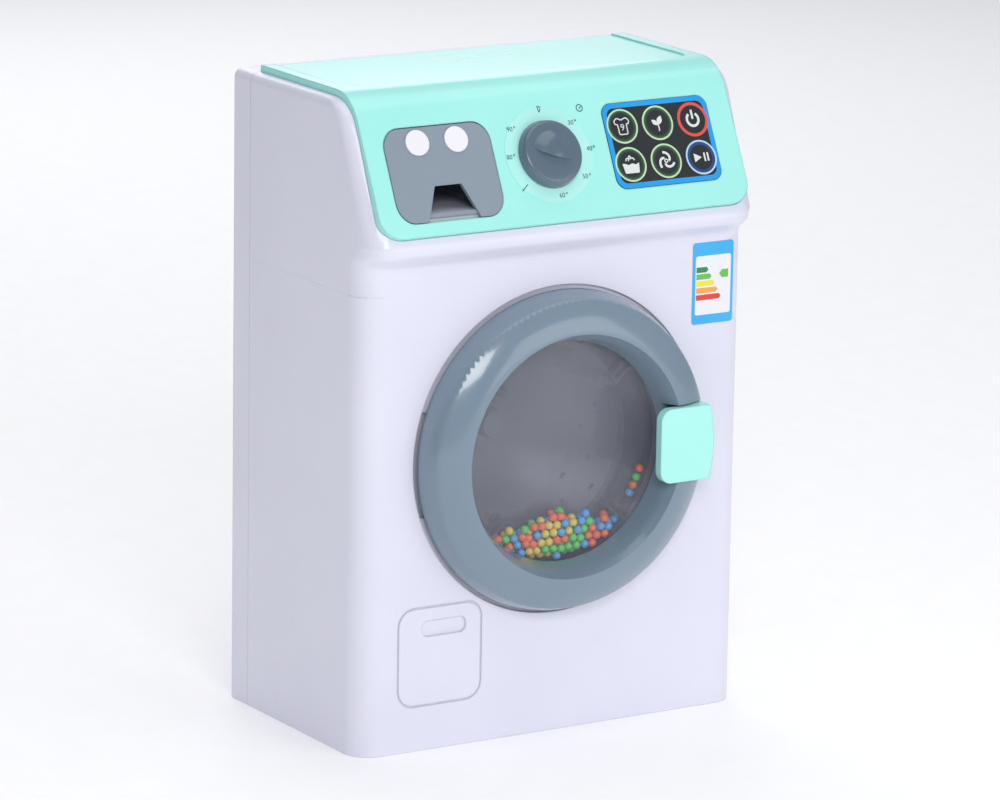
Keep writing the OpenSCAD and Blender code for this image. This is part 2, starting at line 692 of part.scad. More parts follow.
// Lever handle: a lid over the ring's notch, a pivot block, and a hook that enters the panel's slot.
lid_t = 4.2;
lid_r = 5.5;
hook_t = 2.8;
hook_end = -6.4;
spring_half = 4;
module door_handle() {
  lid_h = handle_h - lid_t;
  color(mint) on_door() difference() {
    union() {
      translate([0, 0, lid_h]) linear_extrude(lid_t) lid_outline();
      translate([0, 0, notch_h + 2.2]) linear_extrude(lid_h - notch_h - 2.1) intersection() {
        lid_outline();
        translate([lever_x - 5, -40]) square([40, 80]);
      }
      translate([lever_x - 5, -lever_half, lever_h - 3.6]) cube([7.2, 2 * lever_half, lid_h - lever_h + 4]);
      translate([hook_x - 1.4, -hook_w / 2, hook_end]) cube([hook_t, hook_w, lid_h - hook_end]);
      translate([hook_x, -hook_w / 2, hook_end]) cube([2.4, hook_w, 1.2]);
    }
    translate([lever_x, 20, lever_h]) rotate([90, 0, 0]) cylinder(r = pin_r + run_gap, h = 40);
    translate([lever_x - 2.6, hook_w / 2 + 0.4, lever_h - 4]) cube([8, 5, 6.8]);
  }
}
module lid_outline() {
  intersection() {
    translate([handle_in + 20, 0]) rounded(40, handle_w, lid_r);
    circle(shoulder_r - 0.2, $fn = 128);
  }
}

// Torsion spring on the handle's pin: close turns and two short legs.
module handle_spring() {
  wire = 0.35;
  color(steel) on_door(lever_x, hook_w / 2 + 1, lever_h) {
    for (k = [0:5]) translate([0, k * 2 * wire * 0.98, 0]) rotate([-90, 0, 0])
      rotate_extrude($fn = 24) translate([pin_r + 0.2 + wire, 0]) circle(wire, $fn = 16);
    translate([pin_r + 0.2 + wire, 0, plate_h1 - lever_h]) cylinder(r = wire, h = lever_h - plate_h1, $fn = 16);
  }
}

module door_screws() {
  color(steel) for (a = screw_at) on_door() rotate(a) translate([door_screw_r, 0, plate_h0])
    rotate([180, 0, 0]) screw(screw_r - 0.3, 12, 2.4, 1);
}

// Drum: perforated cup with a rolled mouth, three lifters and a hub.
drum_back = plate_y - wall - 2;
hole_rows = 3;
hole_count = 12;
lifters = 3;
hub_r = 7;
module drum() {
  lip = 1.6;
  front = drum_back - drum_d;
  color(steel) to_back(door_x, door_z, 0) difference() {
    union() {
      rotate_extrude($fn = 96) polygon([[shaft_r + 0.02, drum_back], [drum_r, drum_back], [drum_r, front],
        [drum_r - lip - drum_t, front], [drum_r - lip - drum_t, front + lip], [drum_r - drum_t, front + lip],
        [drum_r - drum_t, drum_back - drum_t], [hub_r, drum_back - drum_t], [hub_r - 1, drum_back - 7],
        [shaft_r + 0.02, drum_back - 7]]);
      for (k = [0:lifters - 1]) rotate(90 + k * 360 / lifters) translate([drum_r - drum_t - 5, -2.5, front + 4])
        cube([5.5, 5, drum_d - 5]);
    }
    for (k = [0:hole_rows - 1], i = [0:hole_count - 1])
      rotate((i + (k % 2) / 2 + 0.25) * 360 / hole_count)
        translate([drum_r - 4, 0, front + 9 + k * (drum_d - 16) / (hole_rows - 1)])
          rotate([0, 90, 0]) cylinder(r = 1.6, h = 6, $fn = 20);
  }
}
module drum_shaft() {
  color(steel) to_back(door_x, door_z, drum_back - 7) cylinder(r = shaft_r, h = 19 - drum_back + 7 - 2.4);
}

// Involute teeth: flank points from the base circle to the tip, mirrored for each tooth.
pressure = 20;
function inv(a) = tan(a) * 180 / PI - a;
function flank(z, r) = let (rp = gear_m * z / 2, rb = rp * cos(pressure), a = acos(min(1, rb / r)))
  90 / z - backlash / 4 / rp * 180 / PI + inv(pressure) - inv(a);
flank_steps = 3;
module gear2d(z) {
  rp = gear_m * z / 2;
  ra = rp + gear_m;
  rf = rp - 1.25 * gear_m;
  r0 = max(rf + 0.05, rp * cos(pressure) + 0.01);
  polygon([for (k = [0:z - 1]) let (c = k * 360 / z) each concat(
    [for (i = [-1:flank_steps]) let (r = i < 0 ? rf : r0 + (ra - r0) * i / flank_steps,
      a = c - flank(z, max(r, r0))) [r * cos(a), r * sin(a)]],
    [for (i = [flank_steps:-1:-1]) let (r = i < 0 ? rf : r0 + (ra - r0) * i / flank_steps,
      a = c + flank(z, max(r, r0))) [r * cos(a), r * sin(a)]])]);
}
gear_a = plate_y + plate_t + 1;
gear_b = gear_a + gear_t + 0.8;
step_1 = gear_m * (drum_teeth + small_teeth) / 2;
step_2 = gear_m * (large_teeth + small_teeth) / 2;
red_z = door_z - step_1;
motor_z = red_z - step_2;
axle_r = 1.5;
module drum_gear() {
  color("#E9E4D2") to_back(door_x, door_z, gear_a) difference() {
    union() {
      linear_extrude(gear_t) rotate(90) gear2d(drum_teeth);
      translate([0, 0, gear_t - eps]) cylinder(r = 5.5, h = 0.6);
    }
    translate([0, 0, -1]) cylinder(r = shaft_r + 0.02, h = gear_t + 3);
    for (a = [30:60:330]) rotate(a) translate([17, 0, -1]) cylinder(r = 6, h = gear_t + 2);
  }
}
module reduction_gear() {
  mesh_a = drum_teeth % 2 == 0 ? 180 / small_teeth : 0;
  color("#E9E4D2") to_back(door_x, red_z, gear_a) difference() {
    union() {
      linear_extrude(gear_b - gear_a + 0.2) rotate(-90 + mesh_a) gear2d(small_teeth);
      translate([0, 0, gear_b - gear_a]) linear_extrude(gear_t) rotate(90) gear2d(large_teeth);
    }
    translate([0, 0, -1]) cylinder(r = axle_r + run_gap, h = 20);
  }
}
module motor_pinion() {
  mesh_a = 180 / small_teeth;
  color("#E9E4D2") to_back(door_x, motor_z, gear_b - 0.4) difference() {
    linear_extrude(gear_t + 0.8) rotate(-90 + mesh_a) gear2d(small_teeth);
    translate([0, 0, -1]) cylinder(r = 1.02, h = 8);
  }
}
module motor_shaft() {
  color(steel) to_back(door_x, motor_z, plate_y - 6) cylinder(r = 1, h = gear_b + gear_t + 0.4 - plate_y + 6);
}
module reduction_axle() {
  head_y = gear_b + gear_t + 0.2;
  color(steel) to_back(door_x, red_z, plate_y) {
    cylinder(r = axle_r, h = head_y - plate_y);
    translate([0, 0, head_y - plate_y]) cylinder(r = axle_r + 1.2, h = 1);
  }
}
module drum_bush() {
  color("#C8A860") to_back(door_x, door_z, 0) rotate_extrude() polygon([[shaft_r + run_gap, plate_y - wall - 1.4],
    [bush_r + 2, plate_y - wall - 1.4], [bush_r + 2, plate_y - wall], [bush_r, plate_y - wall],
    [bush_r, gear_a - 0.4], [shaft_r + run_gap, gear_a - 0.4]]);
}
module shaft_clip() {
  color(steel) to_back(door_x, door_z, gear_a + gear_t + 0.6) difference() {
    cylinder(r = 5, h = 0.6);
    translate([0, 0, -1]) cylinder(r = shaft_r + 0.02, h = 3);
    translate([0, -1.6, -1]) cube([10, 3.2, 3]);
  }
}

lug_x = motor_d / 2 + 6;
module gear_plate() {
  tab = 2 * lug_x + 8;
  color("#D8D8DE") to_back(door_x, door_z, plate_y) difference() {
    linear_extrude(plate_t) {
      rounded(2 * post_x + 10, 2 * post_y + 10, 8);
      translate([-tab / 2, 0]) square([tab, door_z - motor_z + motor_d / 2 + 3]);
    }
    for (x = [-1, 1], z = [-1, 1]) translate([x * post_x, z * post_y, -1]) cylinder(r = screw_r + screw_fit, h = 5);
    for (s = [-1, 1]) translate([s * lug_x, door_z - motor_z, -1]) cylinder(r = 1 + screw_fit, h = 5);
    translate([0, 0, -1]) cylinder(r = bush_r + run_gap, h = 5);
    translate([0, door_z - red_z, -1]) cylinder(r = axle_r + 0.02, h = 5);
    translate([0, door_z - motor_z, -1]) cylinder(r = 4, h = 5);
    for (x = [-1, 1], z = [-1, 1]) translate([x * 38, z * 42, -1]) cylinder(r = 9, h = 5);
  }
}
module motor() {
  color(steel) to_back(door_x, motor_z, plate_y - motor_l) difference() {
    union() {
      cylinder(r = motor_d / 2, h = motor_l);
      translate([0, 0, motor_l]) cylinder(r = 3, h = 1.6);
    }
    translate([0, 0, motor_l - 6.2]) cylinder(r = 1 + run_gap, h = 9);
  }
}
module motor_strap() {
  color("#D8D8DE") to_back(door_x, motor_z, plate_y - 12) difference() {
    union() {
      cylinder(r = motor_d / 2 + 1.8, h = 12);
      translate([-lug_x - 4, -4, 10]) cube([2 * lug_x + 8, 8, 2]);
    }
    translate([0, 0, -1]) cylinder(r = motor_d / 2 + seat_gap, h = 14);
    for (s = [-1, 1]) translate([s * lug_x, 0, 9]) cylinder(r = 1 + screw_fit, h = 4);
  }
}

// Knob: low domed disc with a crescent grip ridge; its stem passes the console to the click wheel.
dial_t = 0.3;
stem_end = -rim_d - 0.2;
ridge_turn = -21;
ridge_y = 4.2;
module knob() {
  under = dial_t + 0.2;
  color(dark_slate) on_face(knob_x, knob_v) difference() {
    union() {
      rotate_extrude($fn = 96) polygon([[0, under], [knob_r - 0.3, under], [knob_r, under + 0.6],
        [knob_r - 0.9, knob_h - 1], [knob_r - 1.6, knob_h - 0.3], [knob_r - 2.6, knob_h], [0, knob_h + 0.5]]);
      rotate(ridge_turn) intersection() {
        translate([0, ridge_y, knob_h - 1]) linear_extrude(ridge_h + 1) intersection() {
          translate([0, 20]) circle(27);
          translate([0, -22]) circle(27);
        }
        translate([0, 0, knob_h - 14]) sphere(r = 17);
      }
      translate([0, 0, stem_end]) cylinder(r = stem_r, h = under - stem_end + eps);
    }
    translate([0, 0, stem_end - 1]) cylinder(r = 1 + screw_fit, h = 7);
  }
}
wheel_r = 8;
wheel_t = 3;
module click_wheel() {
  color("#E9E4D2") on_face(knob_x, knob_v, stem_end - wheel_t) difference() {
    cylinder(r = wheel_r, h = wheel_t);
    translate([0, 0, -1]) cylinder(r = 1 + screw_fit, h = wheel_t + 2);
    for (k = [0:click_teeth - 1]) rotate(k * 360 / click_teeth) translate([wheel_r + 0.6, 0, -1])
      cylinder(r = 1.5, h = wheel_t + 2, $fn = 24);
  }
}
module knob_screw() {
  color(steel) on_face(knob_x, knob_v, stem_end - wheel_t) rotate([180, 0, 0]) screw(1, wheel_t + 5, 2.2, 1.2);
}
// Leaf spring screwed to a pillar beside the stem, its bump resting on the wheel's crests.
module click_spring() {
  spring_x = wheel_r + 0.15;
  color(steel) on_face(knob_x, knob_v, stem_end - wheel_t) {
    translate([spring_x + 1.2, -9, 0.3]) cube([0.4, 18, wheel_t - 0.6]);
    translate([spring_x + 1.2, 0, 0.3]) cylinder(r = 1.2, h = wheel_t - 0.6, $fn = 24);
    for (s = [-1, 1]) translate([spring_x + 1.4, s * 9, 0.3]) cylinder(r = 1, h = rim_d - console_t
      + 0.2 + wheel_t - 0.3, $fn = 24);
  }
}
module dial_film() {
  color(clear, 0.4) on_face(knob_x, knob_v) tube(dial_r, stem_r + 1, dial_t, $fn = 96);
}

module touch_film() {
  color("#22292C") on_face(film_x, film_v, -film_sink) linear_extrude(film_t) rounded(film_w, film_h, 5);
}
board_pcb_t = 1.6;
module touch_board() {
  color("#2F7A4B") on_face(film_x, film_v, -rim_d - board_pcb_t) difference() {
    linear_extrude(board_pcb_t) rounded(film_w - 4, film_h - 4, 2);
    for (x = [-1, 1], v = [-1, 1]) translate([x * (film_w / 2 - 5), v * (film_h / 2 - 5), -1])
      cylinder(r = 0.9 + screw_fit, h = 4);
  }
}
module pad_lights() {
  color("#D8F4C8") for (i = [-1:1], j = [-1, 1]) on_face(film_x + i * pad_dx, film_v + j * pad_dv / 2, -rim_d)
    cylinder(r = 1.5, h = rim_d - console_t - 0.1);
}

// Drawer: leaning front with a finger notch, and an open tray with round lower edges.
front_t = 2.4;
tray_in = 1.2;
tray_end = line_y(drawer_z + drawer_h / 2, front_t) + tray_l;
notch_x = 0.8;
notch_top = 13.6;
notch_w1 = 13;
notch_w2 = 25.6;
disc_x = [-9.7, 9.3];
disc_v = 40.5;
disc_r = 5.6;
module drawer() {
  color("#8E9BA8") difference() {
    union() {
      intersection() {
        drawer_shape(0, -90, 90);
        extrude_x(console_xh) polygon(face_band(0, front_t, console_z, 0));
      }
      difference() {
        intersection() {
          drawer_shape(-tray_in, -80, tray_end + 80);
          extrude_x(console_xh) polygon(under_face(front_t - eps, console_z, 60));
        }
        intersection() {
          drawer_shape(-tray_in - tray_wall, -80, tray_end + 80 - tray_wall);
          extrude_x(console_xh) polygon(under_face(front_t, console_z, 60));
        }
        translate([-console_xh, face_y, drawer_z + tray_h]) cube([console_w, 200, 60]);
      }
    }
    translate([drawer_x + notch_x, -20, drawer_z]) rotate([90, 0, 0]) linear_extrude(80)
      polygon([[-notch_w2 / 2 - 0.4, -1], [notch_w2 / 2 + 0.4, -1], [notch_w1 / 2, notch_top],
        [-notch_w1 / 2, notch_top]]);
    for (x = disc_x) on_face(drawer_x + x, disc_v, -0.5) cylinder(r = disc_r + 0.05, h = 3);
  }
  color("#B9BDCB") intersection() {
    drawer_shape(-tray_in, -80, 60);
    extrude_x(console_xh) polygon(under_face(front_t * 0.4, console_z, -20));
    translate([drawer_x - notch_w2 / 2, -90, drawer_z]) cube([notch_w2 + 2, 70, tray_in + tray_wall]);
  }
}
module drawer_discs() {
  color("#F4F3F6") for (x = disc_x) on_face(drawer_x + x, disc_v, -0.5) cylinder(r = disc_r, h = 1.1);
}
module drawer_housing() {
  inner = tray_in - drawer_gap;
  end = tray_end + 2;
  color("#E9E9F0") difference() {
    intersection() {
      drawer_shape(-inner + tray_wall, -80, end + 80 + tray_wall);
      extrude_x(console_xh) polygon(under_face(console_t, console_z - 20, 60));
    }
    drawer_shape(-inner, -90, end + 90);
  }
}

label_x = 78.5;
label_z = 190.3;
label_w = 21;
label_h = 36;
module panel_sticker() {
  color("#F7F7F9") translate([label_x, front_y, label_z]) rotate([90, 0, 0]) linear_extrude(0.2)
    rounded(label_w, label_h, 1.4);
}

// Battery box with its screwed cover, set in the back.
lid_back_t = 1.8;
lid_y = back_y - lid_back_t;
box_y = lid_y - box_d - box_wall;
function cell_z(k) = box_z + box_wall + box_d * (k + 0.5);
module battery_box() {
  color("#D8D8DE") difference() {
    translate([box_x - box_w / 2, box_y, box_z]) cube([box_w, back_y - box_y, box_h]);
    translate([box_x - box_w / 2 + box_wall, box_y + box_wall, box_z + box_wall])
      cube([box_w - 2 * box_wall, 60, cells * box_d]);
    translate([box_x - box_w / 2 + box_wall, lid_y, box_z + box_wall])
      cube([box_w - 2 * box_wall, 60, box_h - 2 * box_wall]);
    to_back(box_x, box_z + box_h - box_wall - strip_h / 2, lid_y - 8) cylinder(r = 1 + screw_fit, h = 20);
  }
}
module battery_cover() {
  color(white) translate([box_x, 0, box_z + box_h / 2]) difference() {
    translate([0, lid_y, 0]) rotate([-90, 0, 0]) linear_extrude(lid_back_t)
      rounded(box_w - 2 * box_wall - 2 * seat_gap, box_h - 2 * box_wall - 2 * seat_gap, 1);
    to_back(0, box_h / 2 - box_wall - strip_h / 2, lid_y - 1) cylinder(r = 1 + screw_fit, h = 9);
    for (k = [-2:2]) translate([-12, back_y - 0.6, -14 + 2.6 * k]) cube([24, 2, 1.2]);
  }
}
module battery_screw() {
  color(steel) to_back(box_x, box_z + box_h - box_wall - strip_h / 2, back_y) screw(1, 8, 2.2, 1);
}
contact_t = 0.5;
module cells_aa() {
  for (k = [0:cells - 1]) {
    s = k % 2 == 0 ? 1 : -1;
    color("#5C6A58") translate([box_x, box_y + box_wall + box_d / 2, cell_z(k)]) rotate([0, s * 90, 0])
      translate([0, 0, -cell_l / 2]) {
        cylinder(r = cell_d / 2, h = cell_l - 1.4);
        cylinder(r = 2.7, h = cell_l);
      }
  }
}
module battery_contacts() {
  inner = box_w / 2 - box_wall;
  color(steel) for (k = [0:cells - 1], s = [-1, 1])
    translate([box_x, box_y + box_wall + box_d / 2, cell_z(k)]) rotate([0, s * 90, 0]) {
      translate([-5, -5, inner - contact_t]) cube([10, 10, contact_t]);
      translate([0, 0, cell_l / 2]) cylinder(r = 3.4, h = inner - contact_t - cell_l / 2);
    }
}

// Circuit board and speaker on the back cover.
board_x = 10;
board_z = 150;
board_w = 64;
board_h = 46;
board_t = 1.6;
board_y = back_y - wall - 8;
module main_board() {
  color("#2F7A4B") translate([board_x, board_y, board_z]) difference() {
    rotate([-90, 0, 0]) linear_extrude(board_t) rounded(board_w, board_h, 1.5);
    for (x = [-1, 1], z = [-1, 1]) translate([x * (board_w / 2 - 4), -1, z * (board_h / 2 - 4)])
      rotate([-90, 0, 0]) cylinder(r = 1 + screw_fit, h = 4);
  }
  color("#26282B") {
    translate([board_x - 8, board_y - 1.6, board_z - 6]) cube([14, 1.7, 10]);
    translate([board_x + 14, board_y - 5, board_z + 4]) cube([8, 5.1, 12]);
    for (k = [0:2]) to_back(board_x - 20, board_z - 12 + 9 * k, board_y - 7) cylinder(r = 2.5, h = 7.1);
  }
}
module speaker() {
  rim_y = back_y - wall - 2;
  color("#3A3C40") to_back(speaker_x, speaker_z, rim_y - 9) {
    translate([0, 0, 9]) cylinder(r = speaker_r, h = 2);
    translate([0, 0, 4]) cylinder(r1 = 9, r2 = speaker_r - 1, h = 5);
    cylinder(r = 8, h = 4);
  }
}
switch_travel = 4;
module power_switch() {
  color("#26282B") translate([switch_x - 7, back_y - wall - 6, switch_z - 4]) difference() {
    cube([14, 6, 8]);
    translate([2, 2.4, 1.75]) cube([10, 6, 4.5]);
  }
}
module switch_slider() {
  color("#26282B") translate([switch_x - switch_travel / 2 - 2.3, back_y - wall - 3, switch_z - 2.05]) {
    cube([4.6, wall + 4.2, 4.1]);
    for (k = [0:2]) translate([0.5 + 1.4 * k, wall + 4, 0]) cube([0.8, 0.6, 4.1]);
  }
}

// Push switch behind the panel, pressed by the closed door.
push_travel = 1.2;
push_tip = plate_h0 - 0.2;
push_body = -recess_d - wall;
module door_switch() {
  color("#26282B") on_door(button_x, button_z, push_body - 6) difference() {
    translate([-1.6, -4, 0]) cube([7.6, 8, 6]);
    translate([0, 0, 3]) cylinder(r = button_r + run_gap, h = 8);
  }
}
module door_switch_button() {
  color("#D8D8DE") on_door(button_x, button_z, push_body - 3 + push_travel + 0.1)
    cylinder(r = button_r, h = push_tip - push_body + 3 - push_travel - 0.1);
}

module casing_screws() {
  color(steel) for (s = [-1, 1], z = boss_z) to_back(s * boss_x, z, back_y - 6) screw(screw_r, 20, 2.8, 1.8);
}
module plate_screws() {
  color(steel) {
    for (x = [-1, 1], z = [-1, 1]) to_back(door_x + x * post_x, door_z + z * post_y, plate_y + plate_t)
      screw(screw_r, 12, 2.8, 1.8);
    for (s = [-1, 1]) to_back(door_x + s * lug_x, motor_z, plate_y + plate_t) screw(1, 4.4, 2, 1.2);
  }
}
module board_screws() {
  color(steel) {
    for (x = [-1, 1], z = [-1, 1]) translate([board_x + x * (board_w / 2 - 4), board_y,
      board_z + z * (board_h / 2 - 4)]) rotate([90, 0, 0]) screw(1, 7, 2, 1);
    for (x = [-1, 1], v = [-1, 1]) on_face(film_x + x * (film_w / 2 - 5), film_v + v * (film_h / 2 - 5),
      -rim_d - board_pcb_t) rotate([180, 0, 0]) screw(0.9, 3.2, 1.8, 1);
  }
}

front_casing();
back_cover();
console_panel();
drum_tub();
door_ring();
door_back_ring();
door_window();
bead_bowl();
beads();
door_hinge_pin();
door_handle();
handle_pin();
handle_spring();
door_screws();
drum();
drum_shaft();
drum_gear();
drum_bush();
shaft_clip();
gear_plate();
reduction_gear();
reduction_axle();
motor();
motor_shaft();
motor_pinion();
motor_strap();
knob();
click_wheel();
click_spring();
knob_screw();
dial_film();
touch_film();
touch_board();
pad_lights();
drawer();
drawer_discs();
drawer_housing();
panel_sticker();
battery_box();
battery_cover();
cells_aa();
battery_contacts();
main_board();
speaker();
power_switch();
switch_slider();
door_switch();
door_switch_button();
casing_screws();
plate_screws();
board_screws();
battery_screw();
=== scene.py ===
import bmesh
import bpy
import json
import math
import numpy as np
from mathutils import Matrix, Vector


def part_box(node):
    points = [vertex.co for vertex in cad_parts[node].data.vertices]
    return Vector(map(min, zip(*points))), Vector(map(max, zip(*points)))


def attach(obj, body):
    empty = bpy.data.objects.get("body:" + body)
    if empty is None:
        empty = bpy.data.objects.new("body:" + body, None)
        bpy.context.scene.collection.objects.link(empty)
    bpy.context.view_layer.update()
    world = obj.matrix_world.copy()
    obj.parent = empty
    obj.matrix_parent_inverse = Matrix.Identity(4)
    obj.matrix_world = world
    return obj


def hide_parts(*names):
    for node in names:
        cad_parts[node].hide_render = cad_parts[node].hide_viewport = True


# Toy washing machine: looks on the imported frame. Metres, the front faces -Y, Z is up.
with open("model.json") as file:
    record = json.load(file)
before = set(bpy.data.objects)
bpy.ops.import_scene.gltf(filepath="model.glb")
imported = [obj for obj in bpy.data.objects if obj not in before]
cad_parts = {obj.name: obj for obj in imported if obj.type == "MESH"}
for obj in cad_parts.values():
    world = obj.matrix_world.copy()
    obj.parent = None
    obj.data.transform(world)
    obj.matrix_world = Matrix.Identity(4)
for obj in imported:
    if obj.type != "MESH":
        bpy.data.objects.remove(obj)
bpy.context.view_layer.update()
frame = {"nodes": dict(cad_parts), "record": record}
nodes = frame["nodes"]
mm = 0.001
print("frame loaded:", len(nodes), "nodes")


# ---- shared places, read from the frame ----
def boxOf(name):
    low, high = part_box(name)
    return np.array(low, float), np.array(high, float)


ringLow, ringHigh = boxOf("door_ring")
doorX = (ringLow[0] + ringHigh[0]) / 2
doorZ = (ringLow[2] + ringHigh[2]) / 2
frontY = ringHigh[1] + 1.0 * mm   # the ring's skirt ends 1 mm in front of the panel
lean = math.radians(26)
faceUp = np.array([0, math.sin(lean), math.cos(lean)])
faceOut = np.array([0, -math.cos(lean), math.sin(lean)])
faceFoot = np.array([0, frontY - 9 * mm, 226.1 * mm])   # lower edge of the console face


# ---- colour and materials ----
def colour(hexText, alpha=1.0):
    part = np.array([int(hexText[i:i + 2], 16) for i in (1, 3, 5)]) / 255
    part = np.where(part <= 0.04045, part / 12.92, ((part + 0.055) / 1.055) ** 2.4)
    return (*part, alpha)


def addNode(tree, kind, settings=None, links=None):
    node = tree.nodes.new(kind)
    for key, value in (settings or {}).items():
        if key in node.inputs:
            node.inputs[key].default_value = value
        else:
            setattr(node, key, value)
    for key, source in (links or {}).items():
        tree.links.new(source, node.inputs[key])
    return node


def ramp(tree, source, stops):
    node = addNode(tree, "ShaderNodeValToRGB", links={"Fac": source})
    line = node.color_ramp.elements
    while len(line) < len(stops):
        line.new(0.5)
    for element, (place, tint) in zip(line, stops):
        element.position = place
        element.color = tint
    return node.outputs["Color"]


def newMaterial(name):
    mat = bpy.data.materials.new(name)
    mat.use_nodes = True
    mat.node_tree.nodes.clear()
    return mat, mat.node_tree


# moulded plastic: slow colour drift, faint ripple in the gloss, softened edges
def mouldedPlastic(name, base, drift, rough, coat=0.0, edge=0.5, ripple=0.02, scale=18.0):
    mat, tree = newMaterial(name)
    place = addNode(tree, "ShaderNodeTexCoord").outputs["Object"]
    cloud = addNode(tree, "ShaderNodeTexNoise", {"Scale": scale, "Detail": 3.0},
        {"Vector": place}).outputs["Fac"]
    grain = addNode(tree, "ShaderNodeTexNoise", {"Scale": 900.0, "Detail": 2.0},
        {"Vector": place}).outputs["Fac"]
    tint = ramp(tree, cloud, [(0.3, colour(drift)), (0.7, colour(base))])
    gloss = addNode(tree, "ShaderNodeMapRange", {"To Min": rough - 0.03, "To Max": rough + 0.04},
        {"Value": cloud}).outputs["Result"]
    under = {"Height": grain}
    if edge:
        under["Normal"] = addNode(tree, "ShaderNodeBevel",
            {"samples": 4, "Radius": edge * mm}).outputs["Normal"]
    bump = addNode(tree, "ShaderNodeBump", {"Strength": ripple, "Distance": 0.0002},
        under).outputs["Normal"]
    shader = addNode(tree, "ShaderNodeBsdfPrincipled",
        {"Coat Weight": coat, "Coat Roughness": 0.06, "IOR": 1.52},
                     {"Base Color": tint, "Roughness": gloss, "Normal": bump})
    addNode(tree, "ShaderNodeOutputMaterial", links={"Surface": shader.outputs[0]})
    return mat


# plated or turned metal with fine drawn lines
def drawnMetal(name, base, drift, rough):
    mat, tree = newMaterial(name)
    place = addNode(tree, "ShaderNodeTexCoord").outputs["Object"]
    stretch = addNode(tree, "ShaderNodeMapping", {"Scale": (900.0, 40.0, 900.0)},
        {"Vector": place}).outputs["Vector"]
    lines = addNode(tree, "ShaderNodeTexNoise", {"Scale": 1.0, "Detail": 4.0},
        {"Vector": stretch}).outputs["Fac"]
    tint = ramp(tree, lines, [(0.35, colour(drift)), (0.65, colour(base))])
    gloss = addNode(tree, "ShaderNodeMapRange", {"To Min": rough - 0.06, "To Max": rough + 0.08},
        {"Value": lines}).outputs["Result"]
    bump = addNode(tree, "ShaderNodeBump", {"Strength": 0.08, "Distance": 0.0001},
        {"Height": lines}).outputs["Normal"]
    shader = addNode(tree, "ShaderNodeBsdfPrincipled", {"Metallic": 1.0},
        {"Base Color": tint, "Roughness": gloss, "Normal": bump})
    addNode(tree, "ShaderNodeOutputMaterial", links={"Surface": shader.outputs[0]})
    return mat


# clear moulded plastic: light passes by the share that the alpha leaves, with a faint veil and slight
# waviness
def clearPlastic(name, base, drift, alpha, rough, wave):
    mat, tree = newMaterial(name)
    place = addNode(tree, "ShaderNodeTexCoord").outputs["Object"]
    cloud = addNode(tree, "ShaderNodeTexNoise", {"Scale": 30.0, "Detail": 2.0},
        {"Vector": place}).outputs["Fac"]
    tint = ramp(tree, cloud, [(0.3, colour(drift)), (0.7, colour(base))])
    gloss = addNode(tree, "ShaderNodeMapRange", {"To Min": rough, "To Max": rough + 0.05},
        {"Value": cloud}).outputs["Result"]
    bump = addNode(tree, "ShaderNodeBump", {"Strength": wave, "Distance": 0.0004},
        {"Height": cloud}).outputs["Normal"]
    shader = addNode(tree, "ShaderNodeBsdfPrincipled",
        {"Alpha": alpha, "IOR": 1.59, "Coat Weight": 1.0, "Coat Roughness": 0.03},
                     {"Base Color": tint, "Roughness": gloss, "Normal": bump})
    addNode(tree, "ShaderNodeOutputMaterial", links={"Surface": shader.outputs[0]})
    return mat


# printed ink on film or paper: even colour with a faint screen
def printedInk(name, base, drift, rough=0.35, coat=0.2):
    return mouldedPlastic(name, base, drift, rough, coat=coat, edge=0.05, ripple=0.01, scale=60.0)


whiteAbs = mouldedPlastic("whiteAbs", "#E7E7F5", "#E2E2F1", 0.30, coat=0.15, edge=0.8)       # ABS, casing
mintAbs = mouldedPlastic("mintAbs", "#ABF5EC", "#A5F1E8", 0.28, coat=0.2, edge=1.2)          # ABS, console
handleAbs = mouldedPlastic("handleAbs", "#B2FAEF", "#ACF5EA", 0.26, coat=0.2, edge=0.8)      # ABS, handle
slateAbs = mouldedPlastic("slateAbs", "#7C90A0", "#788C9C", 0.20, coat=0.5, edge=0)        # ABS, door ring
# ABS, drawer front
drawerAbs = mouldedPlastic("drawerAbs", "#8E9BA8", "#8A97A4", 0.38, coat=0.1, edge=0.4)
darkAbs = mouldedPlastic("darkAbs", "#5D7080", "#586B7B", 0.24, coat=0.3, edge=0.3)          # ABS, knob
tubAbs = mouldedPlastic("tubAbs", "#8A8C94", "#84868E", 0.45, edge=0.4)                      # ABS, tub
blackAbs = mouldedPlastic("blackAbs", "#26282B", "#222427", 0.45, edge=0.3)                  # ABS, switches
# ABS, drawer discs
discAbs = mouldedPlastic("discAbs", "#F3F2F6", "#EFEEF3", 0.35, edge=0.3)
# polystyrene, inner frame
frameStyrene = mouldedPlastic("frameStyrene", "#D8D8DE", "#D2D2D9", 0.5, edge=0.3)
gearAcetal = mouldedPlastic("gearAcetal", "#E9E4D2", "#E4DFCC", 0.42, edge=0.1)              # acetal, gears
# glass-epoxy board
circuitBoard = mouldedPlastic("circuitBoard", "#2F7A4B", "#2A7044", 0.5, edge=0.1, scale=200)
ledEpoxy = mouldedPlastic("ledEpoxy", "#D8F4C8", "#D2EEC2", 0.25, edge=0.1)                  # epoxy lamps
# PVC cell jackets
cellJacket = mouldedPlastic("cellJacket", "#5C6A58", "#566452", 0.35, edge=0.2)
labelPaper = mouldedPlastic("labelPaper", "#F2F3F7", "#EEEFF4", 0.55, edge=0.05, scale=120)  # coated paper
filmBlack = printedInk("filmBlack", "#20272B", "#1D2428", 0.3, coat=0.4)                     # vinyl film
# plated ABS drum
drumCoating = drawnMetal("drumCoating", "#B4B7BD", "#A2A5AC", 0.34)
steel = drawnMetal("steel", "#C2C5C9", "#ABAEB3", 0.3)                                       # plated steel
sinteredBronze = drawnMetal("sinteredBronze", "#C8A860", "#B89850", 0.45)                    # bronze bush
